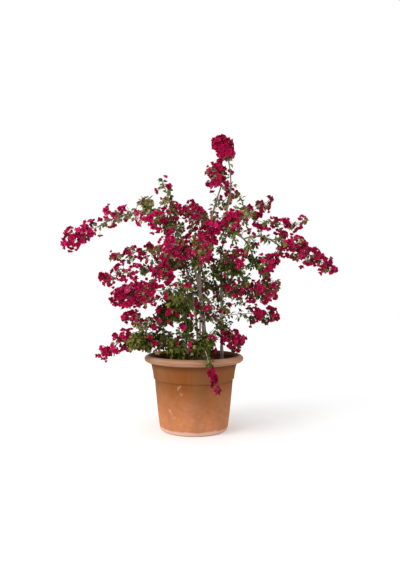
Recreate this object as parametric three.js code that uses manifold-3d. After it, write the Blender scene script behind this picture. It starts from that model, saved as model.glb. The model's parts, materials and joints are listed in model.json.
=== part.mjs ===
// Potted bougainvillea: a clump of woody stems in a rolled-rim terracotta pot, with arching boughs
// that carry sprays of crimson bracts and olive leaves.
// Millimetres, +Z up. The origin is the centre of the pot's flat underside.

import * as THREE from "three";
import { mergeVertices } from "three/addons/utils/BufferGeometryUtils.js";
import Module from "manifold-3d";

const wasm = await Module();
wasm.setup();

// Pot: radii and heights of its profile
const POT_HEIGHT = 523;
const RIM_RADIUS = 350;
const RIM_WIDTH = 66;
const RIM_DEPTH = 49;
const COLLAR_TOP_RADIUS = 306;
const COLLAR_FOOT_RADIUS = 284;
const COLLAR_FOOT_HEIGHT = 356;
const GROOVE_HEIGHT = 344;
const GROOVE_DEPTH = 3;
const GROOVE_WIDTH = 11;
const BODY_TOP_RADIUS = 275;
const BODY_FOOT_RADIUS = 241;
const FOOT_BEVEL = 18;
const BEVEL_BULGE = 0.3;
const WALL = 27;
const FLOOR_THICKNESS = 32;
const POT_SIDES = 36;
const RIM_STEPS = 6;
const RIM_FIRST_ANGLE = THREE.MathUtils.degToRad(-80);
const RIM_SWEEP = THREE.MathUtils.degToRad(260);
const DRAIN_RADIUS = 13;
const DRAIN_CIRCLE = 120;
const DRAIN_HOLES = 3;
const DRAIN_SIDES = 10;

// Soil: a low mound that fills the pot to below the rim
const SOIL_LEVEL = 455;
const SOIL_FALL = 12;
const SOIL_FLAT_RADIUS = 215;

// Clear distances: between two pieces that meet, and between foliage and what it passes
const GAP = 0.3;
const PASSING = 0.6;
const POT_PASSING = 4;

// Facets of a limb
const LIMB_SIDES = 6;
const LIMB_STEPS = 5;
const STEM_LIMB_STEPS = 9;
const TRUNK_SIDES = 10;
const TRUNK_STEPS = 12;
const FLARE_REACH = 45;
const STEEP = 0.7;

// Foliage: blades are larger than life, and each cup of bracts stands for a small cluster
const STEM_STEPS = 4;
const STEM_SIDES = 3;
const STEM_SHARE = 0.9;
const STEM_BASE_RADIUS = 6;
const STEM_TIP_RADIUS = 4.2;
const TWIG_RADIUS = 2;
const NECK_RADIUS = 1.4;
const TWIG_FACES = 3;
const TWIG_START = 0.7;
const SHORTEST_TWIG = 0.7;
const TWIG_ROOT_SHARE = 0.25;
const BLADE_LEAN = THREE.MathUtils.degToRad(58);
const BLADE_SPACING = 0.26;
const BLADE_SHIFT = 0.4;
const LEAF_LENGTH = 66;
const LEAF_WIDTH = 34;
const LEAF_THICKNESS = 4;
const LEAF_SHOULDER = 0.42;
const BRACT_RADIUS = 36;
const BRACT_DEPTH = 38;
const BRACT_THROAT = 0.5;
const BRACT_SUNK = 0.4;
const CUP_MIDDLE = 0.85;
const SWELL_FROM = 0.2;
const SWELL_TO = 0.85;
const SWELL_POWER = 0.6;
const GOLDEN_ANGLE = Math.PI * (3 - Math.sqrt(5));
const FIRST_LEAN = THREE.MathUtils.degToRad(78);
const LAST_LEAN = THREE.MathUtils.degToRad(34);
const CROWDING = 0.7;
const LEAFY = 0.3;

// Stems rise upright from the soil at root [x, y], then lean to their tip
const STEMS = [
  { name: "trunk", root: [80, 0], rise: 300, tip: [28, 0, 1058], radii: [17, 12], flare: 11 },
  { name: "inner_stem", root: [30, 62], rise: 420, tip: [-58, 70, 1140], radii: [9, 6.5], flare: 4 },
  { name: "right_stem", root: [202, 70], rise: 420, tip: [195, 70, 1256], radii: [11.5, 7.5], flare: 5 },
  { name: "left_stem", root: [-150, -30], rise: 140, tip: [-258, -60, 756], radii: [8, 5.5], flare: 4 },
  { name: "front_stem", root: [-20, -120], rise: 260, tip: [-132, -260, 977], radii: [9, 5.5], flare: 4 },
  { name: "back_stem", root: [40, 150], rise: 280, tip: [70, 320, 1060], radii: [10, 6], flare: 5 },
];

// Boughs start on the axis of another limb, at that share of its length, and bow by bend on the way
const BOUGHS = [
  { name: "leader", from: "trunk", at: 1, tip: [193, 20, 1715], bend: [-30, 0, 0], radii: [9, 4.8] },
  { name: "spire", from: "leader", at: 0.35, tip: [241, 0, 1915], bend: [170, 0, -60], radii: [6, 3.8] },
  { name: "left_limb", from: "trunk", at: 0.93, tip: [-182, -60, 1461], bend: [40, 0, 80], radii: [9, 6.5] },
  { name: "left_arm", from: "left_limb", at: 1, tip: [-653, -150, 1407], bend: [0, 0, 140], radii: [6.5, 5] },
  { name: "right_limb", from: "leader", at: 0.5, tip: [340, -150, 1325], bend: [0, -10, 80],
    radii: [7.5, 6] },
  { name: "right_arm", from: "right_limb", at: 1, tip: [628, -60, 1258], bend: [0, 0, 100], radii: [6, 5] },
  { name: "right_drop", from: "right_limb", at: 0.9, tip: [426, -120, 1129], bend: [20, 0, 60],
    radii: [5.5, 5] },
  { name: "right_high", from: "right_stem", at: 1, tip: [354, 60, 1529], bend: [-40, 0, 30],
    radii: [6.5, 5] },
  { name: "left_mid", from: "inner_stem", at: 1, tip: [-315, 30, 1109], bend: [0, 0, 70], radii: [6.5, 5] },
  { name: "front_limb", from: "trunk", at: 0.78, tip: [35, -300, 1225], bend: [0, -20, 40], radii: [7, 5.5] },
  { name: "trailing_shoot", from: "front_stem", at: 0.09, tip: [96, -378, 500], bend: [25, -40, 190],
    radii: [4.4, 3.6] },
];

// Masses: a stem that starts on a limb as a bough does, bare for a share of its length, then set with
// twigs that reach out by spread; bloom is the share of twigs that end in bracts
const MASSES = [
  { name: "top_ball", from: "spire", at: 1, tip: [190, 0, 2035], bare: 0.05,
    spread: 46, twigs: 14, bloom: 1 },
  { name: "top_cluster", from: "leader", at: 1, tip: [155, 10, 1835], bare: 0,
    spread: 75, twigs: 14, bloom: 0.8 },
  { name: "top_skirt", from: "leader", at: 0.75, tip: [281, 50, 1679], bare: 0.2,
    spread: 42, twigs: 5, bloom: 0.5 },
  { name: "crown_arch", from: "leader", at: 0.57, tip: [-55, 60, 1560], bend: [0, 0, 70],
    bare: 0.35, spread: 60, twigs: 8, bloom: 0.8 },
  { name: "centre_crown", from: "leader", at: 0.42, tip: [122, -170, 1397], bare: 0.2,
    spread: 60, twigs: 7, bloom: 0.9 },
  { name: "crown_left", from: "left_limb", at: 0.65, tip: [-195, 120, 1595], bare: 0.3,
    spread: 70, twigs: 7, bloom: 0.85 },
  { name: "left_spire", from: "left_limb", at: 0.95, tip: [-227, 0, 1740], bend: [50, 0, 0],
    bare: 0.3, spread: 40, twigs: 6, bloom: 0.4 },
  { name: "left_shoulder", from: "left_limb", at: 0.84, tip: [-298, -240, 1448], bare: 0.25,
    spread: 75, twigs: 8, bloom: 0.8 },
  { name: "left_heart", from: "left_limb", at: 0.4, tip: [-165, -270, 1285], bare: 0.25,
    spread: 75, twigs: 11, bloom: 0.8 },
  { name: "left_spray_upper", from: "left_limb", at: 0.54, tip: [-607, 300, 1232], bend: [0, 0, 50],
    bare: 0.45, spread: 50, twigs: 9, bloom: 0.9 },
  { name: "far_left_spray", from: "left_arm", at: 1, tip: [-830, -185, 1298], bend: [0, 0, 30],
    bare: 0.05, spread: 60, twigs: 9, bloom: 0.95 },
  { name: "left_arm_spray", from: "left_arm", at: 0.55, tip: [-582, -210, 1499], bare: 0.25,
    spread: 28, twigs: 4, bloom: 0.7 },
  { name: "left_tuft", from: "left_arm", at: 0.18, tip: [-345, -30, 1605], bare: 0.2,
    spread: 55, twigs: 8, bloom: 0.1 },
  { name: "centre_high", from: "right_limb", at: 0.45, tip: [254, -150, 1465], bare: 0.15,
    spread: 65, twigs: 8, bloom: 0.8 },
  { name: "right_shoulder", from: "right_high", at: 1, tip: [770, -20, 1460], bend: [0, 0, -90],
    bare: 0.1, spread: 60, twigs: 9, bloom: 0.85 },
  { name: "right_upper_spray", from: "right_high", at: 0.75, tip: [576, 330, 1671], bare: 0.3,
    spread: 40, twigs: 6, bloom: 0.6 },
  { name: "far_right_spray", from: "right_arm", at: 1, tip: [952, -60, 1130], bend: [0, 0, 60],
    bare: 0.05, spread: 60, twigs: 11, bloom: 0.85 },
  { name: "right_arm_spray", from: "right_arm", at: 0.55, tip: [735, -130, 1290], bare: 0.3,
    spread: 50, twigs: 8, bloom: 0.9 },
  { name: "right_mid", from: "right_drop", at: 1, tip: [514, -170, 1180], bare: 0.1,
    spread: 55, twigs: 7, bloom: 0.85 },
  { name: "right_low_outer", from: "right_drop", at: 0.84, tip: [571, 160, 959], bend: [30, 0, 30],
    bare: 0.5, spread: 60, twigs: 8, bloom: 0.75 },
  { name: "centre_right", from: "right_stem", at: 0.9, tip: [300, -230, 1120], bare: 0.25,
    spread: 75, twigs: 11, bloom: 0.25 },
  { name: "right_bank", from: "right_stem", at: 0.7, tip: [470, -200, 968], bare: 0.15,
    spread: 85, twigs: 13, bloom: 0.75 },
  { name: "right_lowest", from: "right_stem", at: 0.42, tip: [588, 130, 797], bend: [0, 0, 30],
    bare: 0.45, spread: 60, twigs: 8, bloom: 0.75 },
  { name: "right_skirt", from: "right_stem", at: 0.22, tip: [297, -170, 640], bare: 0.25,
    spread: 60, twigs: 8, bloom: 0.85 },
  { name: "centre_heart", from: "front_limb", at: 1, tip: [56, -430, 1244], bare: 0,
    spread: 70, twigs: 10, bloom: 0.65 },
  { name: "left_spray_middle", from: "left_mid", at: 1, tip: [-653, 120, 1062], bend: [0, 0, 40],
    bare: 0.15, spread: 55, twigs: 9, bloom: 0.95 },
  { name: "left_centre", from: "left_mid", at: 0.6, tip: [-190, -190, 1065], bare: 0.25,
    spread: 60, twigs: 7, bloom: 0.8 },
  { name: "left_bank", from: "front_stem", at: 1, tip: [-466, -320, 937], bend: [0, 0, 20],
    bare: 0.35, spread: 70, twigs: 14, bloom: 0.92 },
  { name: "inner_left", from: "front_stem", at: 0.75, tip: [-200, -150, 830], bare: 0.15,
    spread: 90, twigs: 13, bloom: 0.25 },
  { name: "inner_right", from: "trunk", at: 0.45, tip: [85, -200, 870], bare: 0.3,
    spread: 60, twigs: 5, bloom: 0.3 },
  { name: "foot_foliage", from: "front_stem", at: 0.22, tip: [95, -200, 615], bare: 0.1,
    spread: 85, twigs: 9, bloom: 0.2 },
  { name: "foot_left", from: "front_stem", at: 0.15, tip: [-150, -150, 610], bare: 0.1,
    spread: 80, twigs: 11, bloom: 0.15 },
  { name: "left_low_spray", from: "left_stem", at: 0.86, tip: [-488, 150, 782], bare: 0.25,
    spread: 50, twigs: 8, bloom: 0.8 },
  { name: "left_skirt", from: "left_stem", at: 1, tip: [-623, -130, 540], bend: [0, 0, 25],
    bare: 0.2, spread: 62, twigs: 10, bloom: 0.9 },
  { name: "left_green", from: "left_stem", at: 0.6, tip: [-390, -190, 640], bare: 0.2,
    spread: 75, twigs: 13, bloom: 0.1 },
  { name: "trailing_spray", from: "trailing_shoot", at: 1, tip: [150, -390, 330], bare: 0.1,
    spread: 22, twigs: 7, bloom: 0.7 },
  { name: "back_left", from: "back_stem", at: 0.85, tip: [-300, 560, 1330], bare: 0.4,
    spread: 90, twigs: 8, bloom: 0.75 },
  { name: "back_right", from: "back_stem", at: 1, tip: [360, 580, 1300], bare: 0.4,
    spread: 90, twigs: 8, bloom: 0.75 },
  { name: "back_high", from: "leader", at: 0.14, tip: [40, 420, 1600], bare: 0.4,
    spread: 85, twigs: 8, bloom: 0.7 },
  { name: "back_low", from: "back_stem", at: 0.55, tip: [-90, 480, 930], bare: 0.35,
    spread: 90, twigs: 7, bloom: 0.5 },
  { name: "back_low_right", from: "back_stem", at: 0.7, tip: [320, 400, 1010], bare: 0.35,
    spread: 85, twigs: 7, bloom: 0.65 },
];

const terracotta = new THREE.MeshStandardMaterial({ color: 0xb46b3e, roughness: 0.85, metalness: 0 });
const pottingSoil = new THREE.MeshStandardMaterial({ color: 0x2e2118, roughness: 1, metalness: 0 });
const bark = new THREE.MeshStandardMaterial({ color: 0x6b5a45, roughness: 0.9, metalness: 0 });
const bracts = new THREE.MeshStandardMaterial({ color: 0x961c3f, roughness: 0.7, metalness: 0 });
const leaves = new THREE.MeshStandardMaterial({ color: 0x566328, roughness: 0.6, metalness: 0 });

const UP = new THREE.Vector3(0, 0, 1);
const ACROSS = new THREE.Vector3(1, 0, 0);

// Repeatable random draws from 0 to 1
function seeded(seed) {
  let state = seed;
  return () => {
    state = (Math.imul(state, 1664525) + 1013904223) >>> 0;
    return state / 2 ** 32;
  };
}

// A closed geometry as a solid that can be joined and cut
function solidOf(geometry) {
  const bare = geometry.clone();
  bare.deleteAttribute("normal");
  bare.deleteAttribute("uv");
  const merged = mergeVertices(bare, 1e-3);
  const corners = [];
  for (let i = 0; i < merged.index.count; i += 3) {
    const [a, b, c] = merged.index.array.slice(i, i + 3);
    if (a !== b && b !== c && c !== a) corners.push(a, b, c);
  }
  const vertProperties = new Float32Array(merged.getAttribute("position").array);
  const mesh = new wasm.Mesh({ numProp: 3, vertProperties, triVerts: new Uint32Array(corners) });
  return new wasm.Manifold(mesh);
}

// The solid's largest body, with any sealed hollow and loose scrap left out
function largestBody(solid) {
  const bodies = solid.decompose();
  bodies.sort((a, b) => b.volume() - a.volume());
  return bodies[0];
}

// A named mesh whose position is its own reference point
function meshOf(name, solid, origin, material) {
  const { vertProperties, triVerts } = solid.getMesh();
  const geometry = new THREE.BufferGeometry();
  geometry.setAttribute("position", new THREE.BufferAttribute(vertProperties, 3));
  geometry.setIndex(new THREE.BufferAttribute(triVerts, 1));
  geometry.translate(-origin.x, -origin.y, -origin.z);
  geometry.computeVertexNormals();
  const mesh = new THREE.Mesh(geometry, material);
  mesh.name = name;
  mesh.position.copy(origin);
  return mesh;
}

// A round solid turned about Z from a profile of [radius, height] points
function turned(profile, sides) {
  const points = profile.map(([radius, height]) => new THREE.Vector2(radius, height));
  const geometry = new THREE.LatheGeometry(points, sides);
  geometry.rotateX(Math.PI / 2);
  return solidOf(geometry);
}

// The pot's inner radius at a height, a wall's thickness in from its tapering outside
function innerRadius(height) {
  const share = height / (POT_HEIGHT - RIM_DEPTH);
  return THREE.MathUtils.lerp(BODY_FOOT_RADIUS, COLLAR_TOP_RADIUS, share) - WALL;
}

function makePot() {
  const rimMiddle = RIM_RADIUS - RIM_WIDTH / 2;
  const rimHeight = POT_HEIGHT - RIM_DEPTH / 2;
  const profile = [
    [0, 0],
    [BODY_FOOT_RADIUS - FOOT_BEVEL, 0],
    [BODY_FOOT_RADIUS - FOOT_BEVEL * BEVEL_BULGE, FOOT_BEVEL * BEVEL_BULGE],
    [BODY_FOOT_RADIUS, FOOT_BEVEL],
    [BODY_TOP_RADIUS, GROOVE_HEIGHT - GROOVE_WIDTH / 2],
    [BODY_TOP_RADIUS - GROOVE_DEPTH, GROOVE_HEIGHT],
    [BODY_TOP_RADIUS, GROOVE_HEIGHT + GROOVE_WIDTH / 2],
    [COLLAR_FOOT_RADIUS, COLLAR_FOOT_HEIGHT],
    [COLLAR_TOP_RADIUS, POT_HEIGHT - RIM_DEPTH],
  ];
  for (let i = 0; i <= RIM_STEPS; i++) {
    const angle = RIM_FIRST_ANGLE + (RIM_SWEEP * i) / RIM_STEPS;
    const across = rimMiddle + (RIM_WIDTH / 2) * Math.cos(angle);
    profile.push([across, rimHeight + (RIM_DEPTH / 2) * Math.sin(angle)]);
  }
  profile.push([innerRadius(SOIL_LEVEL), SOIL_LEVEL]);
  profile.push([innerRadius(FLOOR_THICKNESS), FLOOR_THICKNESS]);
  profile.push([0, FLOOR_THICKNESS]);
  let pot = turned(profile, POT_SIDES);
  for (let i = 0; i < DRAIN_HOLES; i++) {
    const angle = (2 * Math.PI * (i + 0.25)) / DRAIN_HOLES;
    const drain = new THREE.CylinderGeometry(DRAIN_RADIUS, DRAIN_RADIUS, 3 * FLOOR_THICKNESS, DRAIN_SIDES);
    drain.rotateX(Math.PI / 2);
    drain.translate(DRAIN_CIRCLE * Math.cos(angle), DRAIN_CIRCLE * Math.sin(angle), FLOOR_THICKNESS / 2);
    pot = pot.subtract(solidOf(drain));
  }
  return meshOf("pot", pot, new THREE.Vector3(), terracotta);
}

function makeSoil() {
  const bottom = FLOOR_THICKNESS + GAP;
  const edge = SOIL_LEVEL - SOIL_FALL;
  const profile = [
    [0, bottom],
    [innerRadius(bottom) - 2 * GAP, bottom],
    [innerRadius(edge) - 2 * GAP, edge],
    [SOIL_FLAT_RADIUS, SOIL_LEVEL],
    [0, SOIL_LEVEL],
  ];
  return meshOf("soil", turned(profile, POT_SIDES), new THREE.Vector3(), pottingSoil);
}

// Where a limb is at a share of its length: its point, its tangent and two directions across it
function frameAt(limb, share) {
  const tangent = limb.curve.getTangentAt(share);
  const side = new THREE.Vector3().crossVectors(tangent, limb.reference).normalize();
  const over = new THREE.Vector3().crossVectors(side, tangent);
  return { point: limb.curve.getPointAt(share), tangent, side, over };
}

// A tapering limb: a turned profile bent along a curve, with its surface moved out by grow
function limbSolid(limb, grow) {
  const { radiusAt, sides, steps } = limb;
  const profile = [new THREE.Vector2(0, 0)];
  for (let i = 0; i <= steps; i++) {
    profile.push(new THREE.Vector2(radiusAt(i / steps) + grow, i / steps));
  }
  profile.push(new THREE.Vector2(0, 1));
  const geometry = new THREE.LatheGeometry(profile, sides);
  const position = geometry.getAttribute("position");
  for (let k = 0; k < position.count; k++) {
    const share = position.getY(k);
    const { point, tangent, side, over } = frameAt(limb, share);
    point.addScaledVector(side, position.getX(k));
    point.addScaledVector(over, position.getZ(k));
    if (share === 0) point.addScaledVector(tangent, -grow);
    if (share === 1) point.addScaledVector(tangent, grow);
    position.setXYZ(k, point.x, point.y, point.z);
  }
  return solidOf(geometry);
}

// Limbs by name, and the room that limbs, stems, twigs and blades take up
const limbs = new Map();
const room = [];

function takeRoom(owner, start, end, radius, isBlade) {
  room.push({ owner, line: new THREE.Line3(start.clone(), end.clone()), radius, isBlade });
}

function takeLimbRoom(owner, limb) {
  for (let i = 0; i < limb.steps; i++) {
    const start = limb.curve.getPointAt(i / limb.steps);
    const end = limb.curve.getPointAt((i + 1) / limb.steps);
    takeRoom(owner, start, end, limb.radiusAt(i / limb.steps), false);
  }
}

function clearOfPot(point, radius) {
  if (point.z - radius > POT_HEIGHT + POT_PASSING) return true;
  const fromAxis = Math.hypot(point.x, point.y);
  if (fromAxis - radius > RIM_RADIUS + POT_PASSING) return true;
  const inside = fromAxis + radius < innerRadius(SOIL_LEVEL) - POT_PASSING;
  return inside && point.z - radius > SOIL_LEVEL + POT_PASSING;
}

// True where a spray's capsule meets nothing of another owner and doesn't crowd its own blades
function isClear(owner, { from, to, radius }) {
  if (!clearOfPot(from, radius) || !clearOfPot(to, radius)) return false;
  const line = new THREE.Line3(from, to);
  return room.every((other) => {
    const isOwn = other.owner === owner;
    if (isOwn && !(other.isBlade && radius > TWIG_RADIUS)) return true;
    const reach = isOwn ? (other.radius + radius) * CROWDING : other.radius + radius + PASSING;
    return other.line.distanceSqToLine3(line) > reach * reach;
  });
}

function stemLimb({ name, root, rise, tip, radii, flare }) {
  const foot = new THREE.Vector3(root[0], root[1], SOIL_LEVEL + GAP);
  const curve = new THREE.QuadraticBezierCurve3(
    foot,
    foot.clone().addScaledVector(UP, rise),
    new THREE.Vector3(...tip),
  );
  const length = curve.getLength();
  const radiusAt = (share) =>
    THREE.MathUtils.lerp(radii[0], radii[1], share) + flare * Math.exp((-share * length) / FLARE_REACH);
  const isTrunk = name === "trunk";
  const sides = isTrunk ? TRUNK_SIDES : LIMB_SIDES;
  const steps = isTrunk ? TRUNK_STEPS : STEM_LIMB_STEPS;
  return { curve, radiusAt, reference: ACROSS, sides, steps };
}

function branchCurve({ from, at, tip, bend = [0, 0, 0] }) {
  const start = limbs.get(from).curve.getPointAt(at);
  const end = new THREE.Vector3(...tip);
  const middle = start.clone().lerp(end, 0.5).add(new THREE.Vector3(...bend));
  return new THREE.QuadraticBezierCurve3(start, middle, end);
}

function branchLimb(branch, radii, sides, steps) {
  const radiusAt = (share) => THREE.MathUtils.lerp(radii[0], radii[1], share);
  const curve = branchCurve(branch);
  const chord = curve.v2.clone().sub(curve.v0).normalize();
  const reference = Math.abs(chord.z) > STEEP ? ACROSS : UP;
  return { curve, radiusAt, reference, sides, steps };
}

// A limb cut back to stand clear of the limb that it grows on and of the limbs that fork off beside it
function cutClear(name, limb, from) {
  let solid = limbSolid(limb, 0).subtract(limbSolid(limbs.get(from), GAP));
  for (const bough of BOUGHS) {
    if (bough.name === name) break;
    if (bough.from === from) solid = solid.subtract(limbSolid(limbs.get(bough.name), GAP));
  }
  return largestBody(solid);
}

// A kite-shaped leaf, folded along its midrib and thickest at its shoulders: root at the origin, tip
// along Z. Its four faces are a tetrahedron's, pressed thin.
function leafGeometry() {
  const geometry = new THREE.TetrahedronGeometry(1);
  const position = geometry.getAttribute("position");
  for (let k = 0; k < position.count; k++) {
    const onMidrib = position.getY(k) > 0;
    const isForward = position.getX(k) > 0;
    if (onMidrib) {
      position.setXYZ(k, 0, 0, isForward ? LEAF_LENGTH : 0);
    } else {
      const shoulder = isForward ? LEAF_WIDTH / 2 : -LEAF_WIDTH / 2;
      position.setXYZ(k, shoulder, -LEAF_THICKNESS, LEAF_LENGTH * LEAF_SHOULDER);
    }
  }
  return geometry;
}

// A three-pointed cup of bracts: root at the origin, opening along Z, its throat sunk below the rim
function bractGeometry() {
  const geometry = new THREE.ConeGeometry(BRACT_RADIUS, BRACT_DEPTH, 3);
  geometry.rotateX(-Math.PI / 2);
  geometry.translate(0, 0, BRACT_DEPTH / 2);
  const position = geometry.getAttribute("position");
  for (let k = 0; k < position.count; k++) {
    const isThroat = position.getZ(k) > BRACT_DEPTH / 2 && Math.hypot(position.getX(k), position.getY(k)) < 1;
    if (isThroat) position.setZ(k, BRACT_DEPTH * BRACT_THROAT);
  }
  return geometry;
}

const leafBlade = leafGeometry();
const bractCup = bractGeometry();

// A three-sided twig that tapers to a point: root at the origin, length along Z, one face towards Y
function leafTwigGeometry(length) {
  const twig = new THREE.ConeGeometry(TWIG_RADIUS, length, 3);
  twig.rotateX(Math.PI / 2);
  return twig.translate(0, 0, length / 2);
}

// A three-sided twig that opens at its end into a cup of bracts, set as the plain twig is
function bloomTwigGeometry(length) {
  const geometry = new THREE.CylinderGeometry(1, 1, 2, 3, 2);
  geometry.rotateX(Math.PI / 2);
  const radii = [TWIG_RADIUS, NECK_RADIUS, BRACT_RADIUS];
  const heights = [0, length - BRACT_DEPTH * BRACT_SUNK, length + BRACT_DEPTH * (1 - BRACT_SUNK)];
  const throat = heights[1] + BRACT_DEPTH * BRACT_THROAT;
  const position = geometry.getAttribute("position");
  for (let k = 0; k < position.count; k++) {
    const [x, y] = [position.getX(k), position.getY(k)];
    const row = Math.round(position.getZ(k)) + 1;
    const isCentre = Math.hypot(x, y) < 0.5;
    position.setXYZ(k, x * radii[row], y * radii[row], isCentre && row === 2 ? throat : heights[row]);
  }
  return geometry;
}

// A twig or blade set with its root at a point, turned about its length and aimed along a direction
function placed({ geometry, root, direction, turn }) {
  const blade = geometry.clone();
  blade.rotateZ(turn);
  blade.applyQuaternion(new THREE.Quaternion().setFromUnitVectors(UP, direction));
  blade.translate(root.x, root.y, root.z);
  return solidOf(blade);
}

// How far twigs reach along a mass: fullest past its middle
function swell(along) {
  return Math.sin(Math.PI * THREE.MathUtils.lerp(SWELL_FROM, SWELL_TO, along)) ** SWELL_POWER;
}

// A way out from a stem, round it by turn and leaning away from its tangent
function wayOut({ tangent, side, over }, turn, lean) {
  return tangent
    .clone()
    .multiplyScalar(Math.cos(lean))
    .addScaledVector(side, Math.sin(lean) * Math.cos(turn))
    .addScaledVector(over, Math.sin(lean) * Math.sin(turn))
    .normalize();
}

// A leaf or a cup of bracts, with the room that it takes up as a capsule
function bladeAt(root, direction, turn, isBract) {
  const radius = isBract ? BRACT_RADIUS : LEAF_WIDTH / 2;
  const from = root.clone().addScaledVector(direction, isBract ? BRACT_DEPTH * CUP_MIDDLE : radius);
  const to = isBract ? from : root.clone().addScaledVector(direction, LEAF_LENGTH - radius);
  return { geometry: isBract ? bractCup : leafBlade, root, direction, turn, from, to, radius };
}

// A twig, plain or blooming, with the room that it takes up as a capsule
function twigAt(root, direction, reach, turn, blooms) {
  const geometry = blooms ? bloomTwigGeometry(reach) : leafTwigGeometry(reach);
  const radius = blooms ? BRACT_RADIUS : TWIG_RADIUS;
  const end = blooms ? reach + BRACT_DEPTH * (CUP_MIDDLE - BRACT_SUNK) : reach;
  const to = root.clone().addScaledVector(direction, end);
  const from = blooms ? to : root.clone().lerp(to, TWIG_ROOT_SHARE);
  return { geometry, root, direction, turn, blooms, from, to, radius };
}

// The blades at a twig's side, one to each of its faces. A blooming twig has its bracts at its end, and
// one blade fewer.
function sideBlades({ root, direction, turn, blooms }, reach, bloom, draw) {
  const aim = new THREE.Quaternion().setFromUnitVectors(UP, direction);
  const blades = [];
  for (let face = blooms ? 1 : 0; face < TWIG_FACES; face++) {
    const isBract = draw() < bloom;
    const along = reach * (1 - BLADE_SPACING * (face + BLADE_SHIFT * (1 + draw())));
    const round = turn + Math.PI / 2 + (face * 2 * Math.PI) / TWIG_FACES;
    const way = new THREE.Vector3(Math.cos(round), Math.sin(round), 0).multiplyScalar(Math.sin(BLADE_LEAN));
    way.setZ(Math.cos(BLADE_LEAN)).applyQuaternion(aim);
    blades.push(bladeAt(root.clone().addScaledVector(direction, along), way, draw() * 2 * Math.PI, isBract));
  }
  return blades;
}

// Twigs and blades along a mass's stem, leaving out each one that would meet another piece
function growMass(mass, stem, seed) {
  const draw = seeded(seed);
  const phase = draw() * 2 * Math.PI;
  const solids = [cutClear(mass.name, stem, mass.from)];
  const add = (spray) => {
    solids.push(placed(spray));
    takeRoom(mass.name, spray.from, spray.to, spray.radius, spray.radius > TWIG_RADIUS);
  };
  for (let i = 0; i < mass.twigs; i++) {
    const along = (i + TWIG_START) / mass.twigs;
    const frame = frameAt(stem, mass.bare + (1 - mass.bare) * along);
    const lean = THREE.MathUtils.lerp(FIRST_LEAN, LAST_LEAN, along);
    const reach = mass.spread * swell(along) * THREE.MathUtils.lerp(SHORTEST_TWIG, 1, draw());
    const blooms = draw() < mass.bloom;
    const twig = twigAt(frame.point, wayOut(frame, phase + i * GOLDEN_ANGLE, lean), reach, phase, blooms);
    const blades = sideBlades(twig, reach, mass.bloom, draw);
    if (!isClear(mass.name, twig)) continue;
    add(twig);
    for (const blade of blades) {
      if (isClear(mass.name, blade)) add(blade);
    }
  }
  const body = largestBody(wasm.Manifold.union(solids));
  return meshOf(mass.name, body, frameAt(stem, 0).point, mass.bloom < LEAFY ? leaves : bracts);
}

function makePlant() {
  const plant = new THREE.Group();
  for (const stem of STEMS) {
    const limb = stemLimb(stem);
    limbs.set(stem.name, limb);
    plant.add(meshOf(stem.name, limbSolid(limb, 0), limb.curve.getPointAt(0), bark));
  }
  for (const bough of BOUGHS) {
    const limb = branchLimb(bough, bough.radii, LIMB_SIDES, LIMB_STEPS);
    limbs.set(bough.name, limb);
    plant.add(meshOf(bough.name, cutClear(bough.name, limb, bough.from), limb.curve.getPointAt(0), bark));
  }
  limbs.forEach((limb, name) => takeLimbRoom(name, limb));
  const massStems = MASSES.map((mass) => {
    const base = Math.min(limbs.get(mass.from).radiusAt(mass.at) * STEM_SHARE, STEM_BASE_RADIUS);
    const stem = branchLimb(mass, [base, STEM_TIP_RADIUS], STEM_SIDES, STEM_STEPS);
    takeLimbRoom(mass.name, stem);
    return stem;
  });
  MASSES.forEach((mass, i) => plant.add(growMass(mass, massStems[i], i + 1)));
  return plant;
}

const pottedBougainvillea = new THREE.Group();
pottedBougainvillea.add(makePot(), makeSoil(), makePlant());

export default pottedBougainvillea;
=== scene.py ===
"""Dresses a packed potted bougainvillea: clay, soil, bark, and sprays of leaves and bracts.

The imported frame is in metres, +Z up, with the origin at the centre of the pot's underside and -Y towards
the viewer. Growth is worked out in millimetres, as in the part's source, and MM turns it to metres.
"""

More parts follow.
